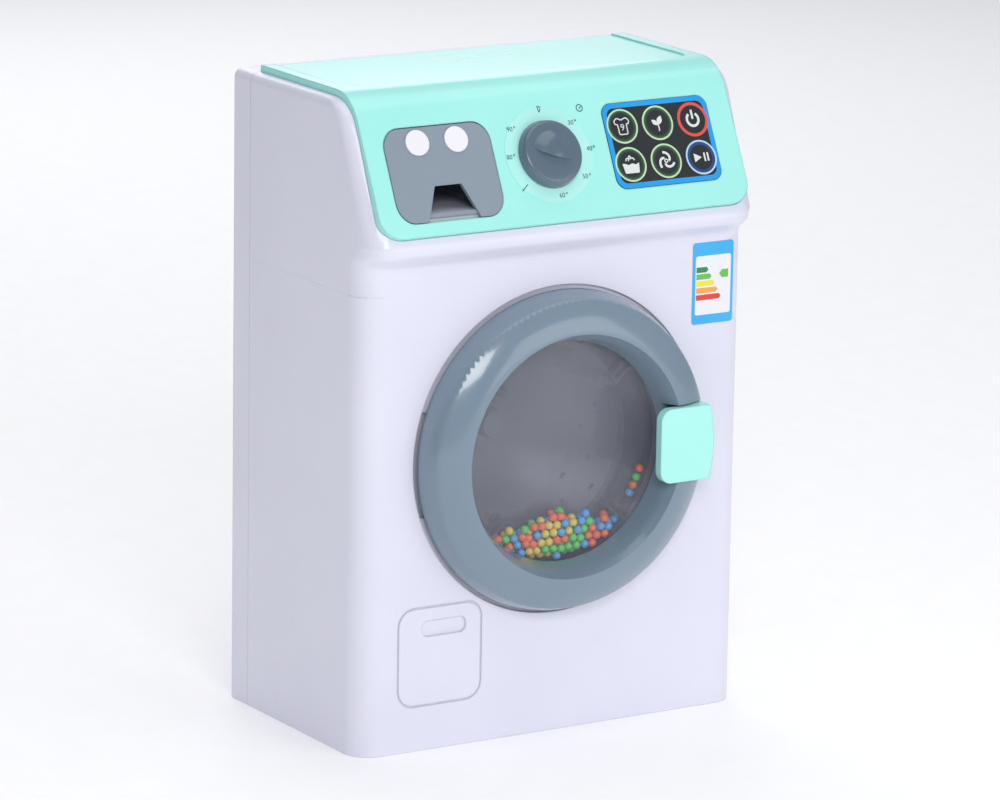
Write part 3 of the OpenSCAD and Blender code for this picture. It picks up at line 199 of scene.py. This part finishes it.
# polystyrene, window
clearStyrene = clearPlastic("clearStyrene", "#B9BCCB", "#A6A9B8", 0.11, 0.04, 0.05)
# polystyrene, bowl
bowlStyrene = clearPlastic("bowlStyrene", "#8E8F9E", "#7B7D8D", 0.32, 0.08, 0.2)
# vinyl, mint shows through
dialVinyl = printedInk("dialVinyl", "#B9F8F0", "#B3F5EC", 0.22, coat=0.5)
print("materials made:", len(bpy.data.materials))


# ---- mesh helpers ----
def makePiece(name, verts, faces, material, body, sharp=38):
    mesh = bpy.data.meshes.new(name)
    mesh.from_pydata(np.asarray(verts, float).reshape(-1, 3).tolist(), [], [list(f) for f in faces])
    piece = bpy.data.objects.new(name, mesh)
    bpy.context.scene.collection.objects.link(piece)
    tidyMesh(mesh, sharp)
    mesh.materials.append(material)
    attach(piece, body)
    return piece


# merges doubles, turns faces outward, then marks edges sharper than the angle
def tidyMesh(mesh, sharp, recalc=True):
    work = bmesh.new()
    work.from_mesh(mesh)
    bmesh.ops.remove_doubles(work, verts=work.verts, dist=2e-6)
    if recalc:
        bmesh.ops.recalc_face_normals(work, faces=work.faces)
    for face in work.faces:
        face.smooth = True
    for line in work.edges:
        line.smooth = len(line.link_faces) == 2 and line.calc_face_angle(0) < math.radians(sharp)
    work.to_mesh(mesh)
    work.free()
    mesh.update()


# faces of a grid of rows by columns, with either way closed on itself
def gridFaces(rows, cols, closeRows=False, closeCols=False):
    r = np.arange(rows if closeRows else rows - 1)
    c = np.arange(cols if closeCols else cols - 1)
    r, c = np.meshgrid(r, c, indexing="ij")
    a, b = r * cols + c, r * cols + (c + 1) % cols
    d, e = ((r + 1) % rows) * cols + c, ((r + 1) % rows) * cols + (c + 1) % cols
    return np.stack([a, b, e, d], -1).reshape(-1, 4).tolist()


# places points given as (right, up, out) on the door's panel, or as (across, up the face, out) on the
# console
def onDoor(points):
    p = np.asarray(points, float) * mm
    return np.stack([doorX + p[..., 0], frontY - p[..., 2], doorZ + p[..., 1]], -1)


def onFace(points):
    p = np.asarray(points, float) * mm
    return faceFoot + p[..., :1] * np.array([1, 0, 0]) + p[..., 1:2] * faceUp + p[..., 2:] * faceOut


# closed outline with each corner turned into an arc: a quadratic curve from edge to edge through the corner
def roundCorners(points, radii, steps=5):
    p = np.asarray(points, float)
    before, after = np.roll(p, 1, 0) - p, np.roll(p, -1, 0) - p
    lb, la = np.linalg.norm(before, axis=1), np.linalg.norm(after, axis=1)
    cut = np.minimum(np.asarray(radii, float), np.minimum(lb, la) * 0.48)[:, None, None]
    t = np.linspace(0, 1, steps + 1)[None, :, None]
    start = p[:, None] + before[:, None] / lb[:, None, None] * cut
    end = p[:, None] + after[:, None] / la[:, None, None] * cut
    return ((1 - t) ** 2 * start + 2 * t * (1 - t) * p[:, None] + t ** 2 * end).reshape(-1, 2)


# rounded rectangle by quarter circles
def roundedRectangle(w, h, r, steps=8):
    a = np.linspace(0, math.pi / 2, steps + 1)
    corner = np.stack([np.cos(a), np.sin(a)], -1) * r
    turns = [(1, 1, 0), (-1, 1, 1), (-1, -1, 2), (1, -1, 3)]
    spin = lambda q, k: q @ np.linalg.matrix_power(np.array([[0, 1], [-1, 0]]), k)
    return np.concatenate([spin(corner, k) + [sx * (w / 2 - r), sy * (h / 2 - r)] for sx, sy, k in turns])


# flat plate of a closed outline: two layers with a small edge fillet, laid by `place`
def plate(name, outline, z0, z1, edge, place, material, body, slot):
    n = len(outline)
    centre = outline.mean(0)
    shrink = lambda d: centre + (outline - centre) * (1 - d / np.linalg.norm(outline - centre, axis=1,
        keepdims=True))
    rings = [(0, z0), (0, z1 - edge), (edge * 0.3, z1 - edge * 0.3), (edge, z1)] if edge else [(0, z0),
        (0, z1)]
    pts = np.concatenate([np.column_stack([shrink(d), np.full(n, z)]) for d, z in rings])
    faces = gridFaces(len(rings), n, closeCols=True) + [list(range(n))[::-1],
        list(range(n * (len(rings) - 1), n * len(rings)))]
    return makePiece(name, place(pts), faces, material, body, sharp=50)


# flat band between two outlines of as many points, laid by `place`
def band(name, outer, inner, z0, z1, place, material, body, slot):
    n = len(outer)
    layer = lambda line, z: np.column_stack([line, np.full(n, z)])
    pts = np.concatenate([layer(outer, z0), layer(outer, z1), layer(inner, z1), layer(inner, z0)])
    return makePiece(name, place(pts), gridFaces(4, n, closeRows=True, closeCols=True), material, body,
        sharp=50)


# merged, smooth-shaded copy of a CAD node, so its arcs read as round
def smoothCopy(node, material, body):
    source = nodes[node]
    piece = bpy.data.objects.new(node + "_look", source.data.copy())
    bpy.context.scene.collection.objects.link(piece)
    tidyMesh(piece.data, 180, recalc=False)
    areaNormals(piece.data)
    piece.data.materials.clear()
    piece.data.materials.append(material)
    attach(piece, body)
    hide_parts(node)
    return piece


# normal of each corner: the mean of the faces round its vertex that lie within the angle, weighted by
# their area,
# so a flat wall stays flat up to its rounded corner
def areaNormals(mesh, sharp=35):
    nf, nl = len(mesh.polygons), len(mesh.loops)
    normal, area = np.empty(nf * 3), np.empty(nf)
    mesh.polygons.foreach_get("normal", normal)
    mesh.polygons.foreach_get("area", area)
    normal = normal.reshape(-1, 3)
    vertex, start, total = np.empty(nl, int), np.empty(nf, int), np.empty(nf, int)
    mesh.loops.foreach_get("vertex_index", vertex)
    mesh.polygons.foreach_get("loop_start", start)
    mesh.polygons.foreach_get("loop_total", total)
    face = np.empty(nl, int)
    face[np.repeat(start, total) + np.arange(nl) - np.repeat(np.cumsum(total) - total,
        total)] = np.repeat(np.arange(nf), total)
    order = np.argsort(vertex, kind="stable")
    sv, sf = vertex[order], face[order]
    first = np.searchsorted(sv, np.arange(len(mesh.vertices)))
    count = np.bincount(sv, minlength=len(mesh.vertices))
    result = np.zeros((nl, 3))
    limit = math.cos(math.radians(sharp))
    for k in range(count.max() if nl else 0):
        has = count[vertex] > k
        other = np.zeros(nl, int)
        other[has] = sf[first[vertex[has]] + k]
        near = has & ((normal[other] * normal[face]).sum(1) > limit)
        result += np.where(near[:, None], normal[other] * area[other][:, None], 0)
    size = np.linalg.norm(result, axis=1, keepdims=True)
    result = np.where(size > 1e-14, result / np.maximum(size, 1e-14), normal[face])
    mesh.normals_split_custom_set(result.tolist())


# normals of a turned piece: at each ring of equal radius and height the profile's slope is averaged over
# the faces
# that lie within the angle, and laid out along the radius, so thin triangles leave no teeth in a highlight
def turnedNormals(mesh, centre, axis, sharp=35):
    axis = np.asarray(axis, float)
    nf, nl = len(mesh.polygons), len(mesh.loops)
    co, normal, area = np.empty(len(mesh.vertices) * 3), np.empty(nf * 3), np.empty(nf)
    mesh.vertices.foreach_get("co", co)
    mesh.polygons.foreach_get("normal", normal)
    mesh.polygons.foreach_get("area", area)
    normal = normal.reshape(-1, 3)
    vertex = np.empty(nl, int)
    mesh.loops.foreach_get("vertex_index", vertex)
    face = np.repeat(np.arange(nf), [p.loop_total for p in mesh.polygons])
    held = np.empty(nl * 3)
    mesh.corner_normals.foreach_get("vector", held)
    held = held.reshape(-1, 3)
    arm = co.reshape(-1, 3)[vertex] - centre
    height = arm @ axis
    out = arm - height[:, None] * axis
    radius = np.linalg.norm(out, axis=1)
    out /= np.maximum(radius, 1e-9)[:, None]
    nr, na = (normal[face] * out).sum(1), normal[face] @ axis
    turned = (np.hypot(nr, na) > 0.985) & (radius > 1 * mm)
    rings = {}
    keys = list(zip(np.round(radius / mm, 1), np.round(height / mm, 1)))
    for k in np.flatnonzero(turned):
        rings.setdefault(keys[k], []).append(k)
    limit = math.cos(math.radians(sharp))
    for group in rings.values():
        group = np.array(group)
        slope = np.stack([nr[group], na[group]], -1)
        slope /= np.linalg.norm(slope, axis=1, keepdims=True)
        near = (slope @ slope.T > limit) * area[face[group]][None]
        mean = near @ slope
        mean /= np.linalg.norm(mean, axis=1, keepdims=True)
        held[group] = mean[:, :1] * out[group] + mean[:, 1:] * axis
    mesh.normals_split_custom_set(held.tolist())


# ---- CAD nodes carried over: a smooth copy where the eye reaches, the node itself elsewhere ----
looks = {
    "front_casing": (whiteAbs, "white_abs"), "back_cover": (whiteAbs, "white_abs"),
    "battery_cover": (whiteAbs, "white_abs"), "drum_tub": (tubAbs, "dark_abs"),
    "door_ring": (slateAbs, "slate_abs"), "door_back_ring": (slateAbs, "slate_abs"),
    "door_window": (clearStyrene, "clear_styrene"), "bead_bowl": (bowlStyrene, "clear_styrene"),
    "drum": (drumCoating, "drum_coating"), "console_panel": (mintAbs, "mint_abs"),
    "door_handle": (handleAbs, "mint_abs"), "drawer": (drawerAbs, "slate_abs"),
    "drawer_housing": (frameStyrene, "frame_styrene"), "knob": (darkAbs, "dark_abs"),
    "drawer_discs": (discAbs, "disc_abs"), "dial_film": (dialVinyl, "dial_vinyl"),
    "touch_film": (filmBlack, "touch_vinyl"), "panel_sticker": (labelPaper, "label_paper"),
    "switch_slider": (blackAbs, "black_abs"), "power_switch": (blackAbs, "black_abs"),
    "door_switch_button": (gearAcetal, "gear_acetal"), "door_hinge_pin": (steel, "steel"),
    "casing_screws": (steel, "steel"), "door_screws": (steel, "steel"),
    "drum_shaft": (steel, "steel"), "battery_screw": (steel, "steel"),
}
inner = {
    "steel": (steel, ["reduction_axle", "motor", "click_spring", "battery_contacts", "plate_screws",
        "board_screws",
                      "handle_pin", "handle_spring", "shaft_clip", "motor_shaft", "knob_screw"]),
    "gear_acetal": (gearAcetal, ["drum_gear", "reduction_gear", "motor_pinion", "click_wheel"]),
    "frame_styrene": (frameStyrene, ["gear_plate", "motor_strap", "battery_box"]),
    "circuit_board": (circuitBoard, ["touch_board", "main_board"]),
    "black_abs": (blackAbs, ["speaker", "door_switch"]),
    "bronze_bush": (sinteredBronze, ["drum_bush"]),
    "led_epoxy": (ledEpoxy, ["pad_lights"]),
    "cell_jacket": (cellJacket, ["cells_aa"]),
}
rides = {node: body for body, held in frame["record"]["behaviour"]["bodies"].items() for node in held}
copies = {node: smoothCopy(node, mat, rides[node]) for node, (mat, slot) in looks.items()}
for slot, (mat, names) in inner.items():
    for name in names:
        nodes[name].data.materials.clear()
        nodes[name].data.materials.append(mat)
doorCentre = np.array([doorX, frontY, doorZ])
for name in ("door_ring", "door_back_ring", "door_window", "bead_bowl", "drum", "drum_tub"):
    turnedNormals(copies[name].data, doorCentre, (0, -1, 0))
turnedNormals(copies["knob"].data, onFace([[-4, 29.8, 0]])[0], faceOut)
print("CAD nodes dressed:", len(copies), "copies")


# second material on the faces of a piece that `chosen` picks from their centres and normals
def paintFaces(piece, material, chosen):
    piece.data.materials.append(material)
    faces = piece.data.polygons
    centre, normal = np.empty(len(faces) * 3), np.empty(len(faces) * 3)
    faces.foreach_get("center", centre)
    faces.foreach_get("normal", normal)
    mark = chosen(centre.reshape(-1, 3), normal.reshape(-1, 3))
    faces.foreach_set("material_index", mark.astype(np.int32))


# tray floor: its up-facing faces get a lighter lavender than the rest of the drawer, painted light on the
# floor seen through the finger notch
trayFloorPaintedLight = mouldedPlastic("trayFloorPaintedLight", "#B9BDCB", "#B4B8C6", 0.45, edge=0.2)
trayLow = boxOf("drawer")[0]
# painted light: only the up-facing floor faces take the lighter colour
paintFaces(copies["drawer"], trayFloorPaintedLight, lambda c, n: (c[:, 2] < trayLow[2] + 4 * mm) & (n[:, 2] > 0.5))


# ---- flat prints: thin plates, bands and strokes ----
def circle(r, n=64, x=0.0, y=0.0):
    a = np.arange(n) / n * 2 * math.pi
    return np.stack([x + r * np.cos(a), y + r * np.sin(a)], -1)


# stroke of even width along a path: each side lies half the width along the path's own normal
def stroke(name, path, width, z0, z1, place, material, body, slot, closed=False):
    p = np.asarray(path, float)
    along = (np.roll(p, -1, 0) - np.roll(p, 1, 0)) if closed else np.gradient(p, axis=0)
    along /= np.linalg.norm(along, axis=1, keepdims=True) + 1e-12
    side = np.stack([-along[:, 1], along[:, 0]], -1) * width / 2
    n = len(p)
    layer = lambda line, z: np.column_stack([line, np.full(n, z)])
    pts = np.concatenate([layer(p - side, z0), layer(p - side, z1), layer(p + side, z1),
        layer(p + side, z0)])
    faces = gridFaces(4, n, closeRows=True, closeCols=closed)
    if not closed:
        faces += [[0, n, 2 * n, 3 * n], [n - 1, 2 * n - 1, 3 * n - 1, 4 * n - 1]]
    return makePiece(name, place(pts), faces, material, body, sharp=50)


# digits set flat at a place: the outline of the built-in letter shapes, given a little thickness
def digits(name, text, size, x, v, turn, z, place, material, body, slot):
    line = bpy.data.curves.new(name, "FONT")
    line.body, line.size, line.align_x, line.align_y = text, size, "CENTER", "CENTER"
    line.extrude, line.resolution_u = 0.04, 4
    holder = bpy.data.objects.new(name + "_line", line)
    bpy.context.scene.collection.objects.link(holder)
    bpy.context.view_layer.update()
    mesh = holder.to_mesh()
    pts = np.empty(len(mesh.vertices) * 3)
    mesh.vertices.foreach_get("co", pts)
    pts = pts.reshape(-1, 3)
    faces = [list(f.vertices) for f in mesh.polygons]
    holder.to_mesh_clear()
    bpy.data.objects.remove(holder)
    a = math.radians(turn)
    flat = pts[:, :2] @ np.array([[math.cos(a), math.sin(a)], [-math.sin(a), math.cos(a)]])
    return makePiece(name, place(np.column_stack([flat + [x, v], pts[:, 2] + z])), faces, material, body,
        sharp=50)


def arc(r, a0, a1, n=20, x=0.0, y=0.0):
    a = np.radians(np.linspace(a0, a1, n))
    return np.stack([x + r * np.cos(a), y + r * np.sin(a)], -1)


inkWhite = printedInk("inkWhite", "#E4EAE6", "#DEE5E0")       # ink on vinyl
inkGreen = printedInk("inkGreen", "#C9E8BC", "#C2E2B4")       # ink on vinyl
inkGlow = printedInk("inkGlow", "#3C6B42", "#376540")         # ink on vinyl
inkGlowLow = printedInk("inkGlowLow", "#2A4436", "#284032")   # ink on vinyl
inkRed = printedInk("inkRed", "#E8584C", "#E25045")           # ink on vinyl
inkSky = printedInk("inkSky", "#BFE0FA", "#B8DAF6")           # ink on vinyl
inkDeep = printedInk("inkDeep", "#1F4C86", "#1C477F")         # ink on vinyl
inkBlue = printedInk("inkBlue", "#18A2EC", "#159CE6")         # ink on vinyl
inkGrey = printedInk("inkGrey", "#3F6E72", "#3A676B")         # ink on vinyl, dial marks

film = dict(x=53.4, v=30.4, w=53.6, h=38.0, r=5.0, border=2.3, top=0.2, dx=18.0, dv=17.0, ring=7.7)
onFilm = lambda p: onFace(np.asarray(p, float) + [film["x"], film["v"], film["top"]])
touch = ("casing", "touch_vinyl")
filmSteps = 8
band("film_border", roundedRectangle(film["w"] - 0.2, film["h"] - 0.2, film["r"], filmSteps),
     roundedRectangle(film["w"] - 2 * film["border"], film["h"] - 2 * film["border"], film["r"] - 1.6,
         filmSteps),
     -0.1, 0.05, onFilm, inkBlue, *touch)
pads = [(-1, 1), (0, 1), (1, 1), (-1, -1), (0, -1), (1, -1)]
for k, (i, j) in enumerate(pads):
    x, y = i * film["dx"], j * film["dv"] / 2
    rim, glow, low = [(inkGreen, inkGlow, inkGlowLow), (inkRed, inkRed, inkGlowLow),
        (inkSky, inkDeep, inkDeep)][{2: 1, 5: 2}.get(k, 0)]
    r = film["ring"]
    band(f"pad_ring_{k}", circle(r, 64, x, y), circle(r - 0.75, 64, x, y), -0.1, 0.10, onFilm, rim, *touch)
    band(f"pad_glow_{k}", circle(r - 0.7, 64, x, y), circle(r - 1.35, 64, x, y), -0.1, 0.06, onFilm, glow,
        *touch)
    if k != 2:
        band(f"pad_dim_{k}", circle(r - 1.3, 64, x, y), circle(r - 2.1, 64, x, y), -0.1, 0.04, onFilm, low,
            *touch)


def padStroke(k, label, path, width, material=None, closed=False):
    i, j = pads[k]
    shift = np.array([i * film["dx"], j * film["dv"] / 2])
    stroke(f"icon_{k}_{label}", np.asarray(path, float) + shift, width, -0.1, 0.12, onFilm,
        material or inkWhite, *touch, closed=closed)


def padPlate(k, label, outline, material=None):
    i, j = pads[k]
    shift = np.array([i * film["dx"], j * film["dv"] / 2])
    plate(f"icon_{k}_{label}", np.asarray(outline, float) + shift, -0.1, 0.12, 0, onFilm,
        material or inkWhite, *touch)


# shirt outline with the number of its programme
shirt = [(-1.1, 3.3), (-2.4, 3.7), (-3.8, 2.4), (-3.3, 0.9), (-2.2, 1.0), (-2.1, -3.6), (2.1, -3.6),
    (2.2, 1.0),
         (3.3, 0.9), (3.8, 2.4), (2.4, 3.7), (1.1, 3.3), (0, 2.7)]
padStroke(0, "shirt", roundCorners(shirt, [0.7] * len(shirt), 4), 0.5, closed=True)
digits("icon_0_digit", "9", 4.2, -film["dx"], film["dv"] / 2 - 0.6, 0, 0.05, onFilm, inkWhite, *touch)

# two leaves on a stem: each side of a leaf is a sine bow over its length
t = np.linspace(0, 1, 14)
for label, turn, length in (("leaf_right", 62, 4.6), ("leaf_left", 138, 3.8)):
    a = math.radians(turn)
    bow = 0.27 * length * np.sin(math.pi * t)
    sides = np.concatenate([np.stack([t * length, bow], -1), np.stack([t * length, -bow], -1)[-2:0:-1]])
    padPlate(1, label, sides @ np.array([[math.cos(a), math.sin(a)], [-math.sin(a), math.cos(a)]]) + [0,
        -1.0])
padStroke(1, "stem", np.stack([0.25 * np.sin(3 * t), -1.0 - 2.6 * t], -1), 0.55)

# power sign: open arc and a bar
padStroke(2, "arc", arc(2.9, 125, 415, 30), 1.15)
padStroke(2, "bar", [(0, 0.2), (0, 2.4), (0, 4.3)], 1.0)

# basin with a garment above it
padPlate(3, "basin", roundCorners([(-4.2, 0.6), (-3.5, -3.9), (3.5, -3.9), (4.2, 0.6), (2.4, -0.3),
    (0.8, 0.5), (-1.2, -0.3), (-2.8, 0.5)],
                                  [0.3, 0.5, 0.5, 0.3, 0.6, 0.6, 0.6, 0.6], 3))
padStroke(3, "garment", np.stack([-2.2 + 4.4 * t,
    1.7 + 1.7 * np.sin(math.pi * t) + 0.4 * np.sin(5 * math.pi * t)], -1), 0.55)
padStroke(3, "fold", np.stack([-1.0 + 1.4 * t, 1.5 + 1.2 * np.sin(2.4 * t)], -1), 0.45)

# swirl: three commas, each an arc whose radius grows with its angle
for m in range(3):
    a = np.radians(120 * m + np.linspace(0, 105, 16))
    r = 1.3 + 2.7 * np.linspace(0, 1, 16) ** 0.8
    padStroke(4, f"comma_{m}", np.stack([r * np.cos(a), r * np.sin(a)], -1), 1.05)
padStroke(4, "hub", circle(0.75, 20), 0.5, closed=True)

# start and pause
padPlate(5, "start", roundCorners([(-3.6, -2.0), (0.2, 0), (-3.6, 2.0)], [0.3] * 3, 3))
padStroke(5, "pause_a", [(1.7, -1.9), (1.7, 0), (1.7, 1.9)], 0.8)
padStroke(5, "pause_b", [(3.4, -1.9), (3.4, 0), (3.4, 1.9)], 0.8)
print("touch film printed")

# dial marks on the clear film
dial = ("casing", "dial_vinyl")
for text, x, v in (("90", -20, 42.3), ("80", -23.1, 30.3), ("60", -1.6, 11.6), ("50", 11.8, 18.7),
    ("40", 16.9, 30.6), ("30", 10.5, 42.7)):
    digits(f"dial_{text}", text, 2.9, x - 0.3, v, 0, 0.33, onFace, inkGrey, *dial)
    stroke(f"dial_degree_{text}", circle(0.38, 12, x + 2.1, v + 0.8), 0.22, 0.2, 0.37, onFace, inkGrey,
        *dial, closed=True)
stroke("dial_tick_top", [(-4.6, 51.2), (-4.2, 48.6), (-4.0, 48.6), (-3.2, 50.0)], 0.4, 0.2, 0.37, onFace,
    inkGrey, *dial)
stroke("dial_tick_side", [(-3.9, 51.4), (-3.4, 50.4), (-2.9, 50.9)], 0.4, 0.2, 0.37, onFace, inkGrey, *dial)
stroke("dial_arrow", [(-20.6, 15.3), (-18.9, 16.7), (-17.4, 17.9)], 0.4, 0.2, 0.37, onFace, inkGrey, *dial)
stroke("dial_round", circle(1.5, 20, 16.3, 48.8), 0.4, 0.05, 0.1, onFace, inkGrey, *dial, closed=True)
stroke("dial_round_hand", [(16.3, 48.2), (16.3, 48.9), (17.2, 49.4)], 0.4, 0.05, 0.1, onFace, inkGrey,
    *dial)

# rating label: blue card, pale field, five graded bars and a marker
paperBlue = printedInk("paperBlue", "#35B4F2", "#31AFEE")
barTints = ["#1E8A50", "#6BBF4B", "#FBE23A", "#F7A94A", "#E8372C"]
label = dict(x=78.5, z=190.3, h=36.0, out=0.2)
onLabel = lambda p: np.stack([(label["x"] + np.asarray(p, float)[..., 0]) * mm,
                              frontY - (label["out"] + np.asarray(p, float)[..., 2]) * mm,
                              (label["z"] + label["h"] / 2 - np.asarray(p, float)[..., 1]) * mm], -1)
paper = ("casing", "label_paper")
copies["panel_sticker"].data.materials[0] = paperBlue
plate("label_field", roundedRectangle(18.2, 26.0, 1.0) + [0.1, 18.9], -0.05, 0.04, 0, onLabel, labelPaper,
    *paper)
for k, tint in enumerate(barTints):
    ink = printedInk(f"barInk{k}", tint, tint)
    x0, x1, y0, hh = -8.6, -8.6 + 6.2 + 1.65 * k, 12.0 + 3.05 * k, 1.2
    plate(f"label_bar_{k}", np.array([(x0, y0 - hh), (x1 - 1, y0 - hh), (x1, y0), (x1 - 1, y0 + hh),
        (x0, y0 + hh)]), 0, 0.08, 0, onLabel, ink, *paper)
    if k == 1:
        mark = np.array([(7.9, 12.6), (4.6, 12.6), (3.2, 14.4), (4.6, 16.2), (7.9, 16.2)])
        plate("label_marker", mark, 0, 0.08, 0, onLabel, ink, *paper)
print("label printed")


# ---- beads: a heap two layers deep in the flat chamber, in four colours ----
beadTints = {"orange": ("#FF7A3C", "#FA7236"), "yellow": ("#F0DC50", "#EAD54A"),
    "green": ("#5FE060", "#58D858"), "blue": ("#58B0F4", "#52AAEE")}
rng = np.random.default_rng(7)
beadR, wallR = 1.95, 49.4
work = bmesh.new()
bmesh.ops.create_icosphere(work, subdivisions=2, radius=beadR)
ballPoints = np.array([v.co[:] for v in work.verts])
ballFaces = np.array([[v.index for v in f.verts] for f in work.faces])
work.free()
centres = []
# each layer is a hexagonal grid, shifted by a third against the one below; the heap's top follows a bent
# line
heapX = np.array([-50, -21.4, -6.3, 3.7, 24.3, 36, 50]) - doorX / mm
heapTop = np.array([91, 90.6, 94.9, 97.3, 92, 93, 100]) - doorZ / mm
for layer, depth in enumerate((0.7, -2.5, -4.75)):
    for row in range(30):
        for col in range(-14, 15):
            x = (col + 0.5 * (row % 2)) * 4.02 + layer * 1.33 + rng.normal(0, 0.22)
            y = -wallR + beadR + 0.3 + row * 3.5 + (layer % 2) * 1.2 + rng.normal(0, 0.22)
            if math.hypot(x, y) > wallR - beadR or y > np.interp(x, heapX, heapTop) + rng.normal(0,
                1.2) - 0.8 * layer:
                continue
            centres.append((x, y, depth + rng.uniform(-0.25, 0.1)))
# a few beads lean on the wall up to the right
for turn in (-18, -23, -27.5, -32):
    a = math.radians(turn)
    centres.append(((wallR - beadR) * math.cos(a), (wallR - beadR) * math.sin(a), -4.7))
centres = np.array(centres)
hue = rng.integers(0, 4, len(centres))
for k, (label, (base, drift)) in enumerate(beadTints.items()):
    place = centres[hue == k]
    pts = (place[:, None] + ballPoints[None]).reshape(-1, 3)
    faces = (ballFaces[None] + (np.arange(len(place)) * len(ballPoints))[:, None, None]).reshape(-1, 3)
    ball = mouldedPlastic("bead" + label.capitalize(), base, drift, 0.25, coat=0.3, edge=0.05, ripple=0.0,
        scale=400)
    mesh = bpy.data.meshes.new("beads_" + label)
    mesh.from_pydata(onDoor(pts).tolist(), [], faces.tolist())
    mesh.polygons.foreach_set("use_smooth", np.ones(len(faces), bool))
    mesh.materials.append(ball)
    heap = bpy.data.objects.new("beads_" + label, mesh)
    bpy.context.scene.collection.objects.link(heap)
    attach(heap, rides["beads"])
    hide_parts("beads")
print("beads laid:", len(centres))


# ---- stage: pale floor and backdrop light ----
floorMesh = bpy.data.meshes.new("studio_floor")
floorMesh.from_pydata([(-3, -3, 0), (3, -3, 0), (3, 3, 0), (-3, 3, 0)], [], [(0, 1, 2, 3)])
floor = bpy.data.objects.new("studio_floor", floorMesh)
bpy.context.scene.collection.objects.link(floor)
mat, tree = newMaterial("studioPaper")   # matt backdrop paper
place = addNode(tree, "ShaderNodeTexCoord").outputs["Object"]
fibre = addNode(tree, "ShaderNodeTexNoise", {"Scale": 60.0, "Detail": 4.0},
    {"Vector": place}).outputs["Fac"]
tint = ramp(tree, fibre, [(0.3, (0.955, 0.955, 0.96, 1)), (0.7, (0.985, 0.985, 0.99, 1))])
paperShade = addNode(tree, "ShaderNodeBsdfPrincipled",
    {"Roughness": 0.9, "Emission Color": (1, 1, 1, 1), "Emission Strength": 0.16}, {"Base Color": tint})
addNode(tree, "ShaderNodeOutputMaterial", links={"Surface": paperShade.outputs[0]})
floorMesh.materials.append(mat)

world = bpy.data.worlds.new("studio")
bpy.context.scene.world = world
world.use_nodes = True
tree = world.node_tree
tree.nodes.clear()
rays = addNode(tree, "ShaderNodeLightPath")
seen = addNode(tree, "ShaderNodeMath", {"operation": "MAXIMUM"})
tree.links.new(rays.outputs["Is Camera Ray"], seen.inputs[0])
tree.links.new(rays.outputs["Is Transmission Ray"], seen.inputs[1])
soft = addNode(tree, "ShaderNodeBackground", {"Color": (0.93, 0.94, 1.0, 1), "Strength": 0.36})
white = addNode(tree, "ShaderNodeBackground", {"Color": (1, 1, 1, 1), "Strength": 1.0})
mixed = addNode(tree, "ShaderNodeMixShader", links={"Fac": seen.outputs[0]})
tree.links.new(soft.outputs[0], mixed.inputs[1])
tree.links.new(white.outputs[0], mixed.inputs[2])
addNode(tree, "ShaderNodeOutputWorld", links={"Surface": mixed.outputs[0]})


def areaLight(name, place, aim, width, height, power, tint):
    lamp = bpy.data.lights.new(name, "AREA")
    lamp.shape, lamp.size, lamp.size_y, lamp.energy, lamp.color = "RECTANGLE", width, height, power, tint
    holder = bpy.data.objects.new(name, lamp)
    holder.matrix_world = Matrix.Translation(place) @ (Vector(aim) - Vector(place)).to_track_quat("-Z",
        "Y").to_matrix().to_4x4()
    bpy.context.scene.collection.objects.link(holder)


target = (0, 0, 0.14)
areaLight("key_softbox", (-0.62, -1.5, 1.0), target, 0.75, 0.5, 9.6, (1.0, 1.0, 1.0))
areaLight("front_fill", (0.9, -1.8, 0.55), target, 1.2, 1.0, 6.6, (0.97, 0.98, 1.0))
areaLight("top_soft", (0.1, -0.1, 1.5), target, 1.4, 1.2, 7.0, (1.0, 1.0, 1.0))
areaLight("back_fill", (0.5, 1.7, 1.1), target, 1.4, 1.0, 9.0, (0.98, 0.99, 1.0))

# camera solved on the photograph's outlines: it stands 32 degrees to the left and 13 above, and leans 0.9
# degrees
az, el, roll = (math.radians(a) for a in (-31.857, 13.336, 0.904))
back = np.array([math.sin(az) * math.cos(el), -math.cos(az) * math.cos(el), math.sin(el)])
right = np.array([math.cos(az), math.sin(az), 0])
up = np.cross(back, right)
turned = np.stack([math.cos(roll) * right + math.sin(roll) * up,
    math.cos(roll) * up - math.sin(roll) * right, back], 1)
lens = bpy.data.cameras.new("photo_camera")
lens.sensor_width, lens.lens, lens.clip_start, lens.clip_end = 36, 205.45, 0.05, 50
camera = bpy.data.objects.new("photo_camera", lens)
matrix = Matrix.Identity(4)
for i in range(3):
    for j in range(3):
        matrix[i][j] = turned[i, j]
    matrix[i][3] = (-1272.82, -2057.07, 708.63)[i] * mm
camera.matrix_world = matrix
bpy.context.scene.collection.objects.link(camera)
bpy.context.scene.camera = camera
bpy.context.scene.view_settings.view_transform = "Standard"
print("stage set")
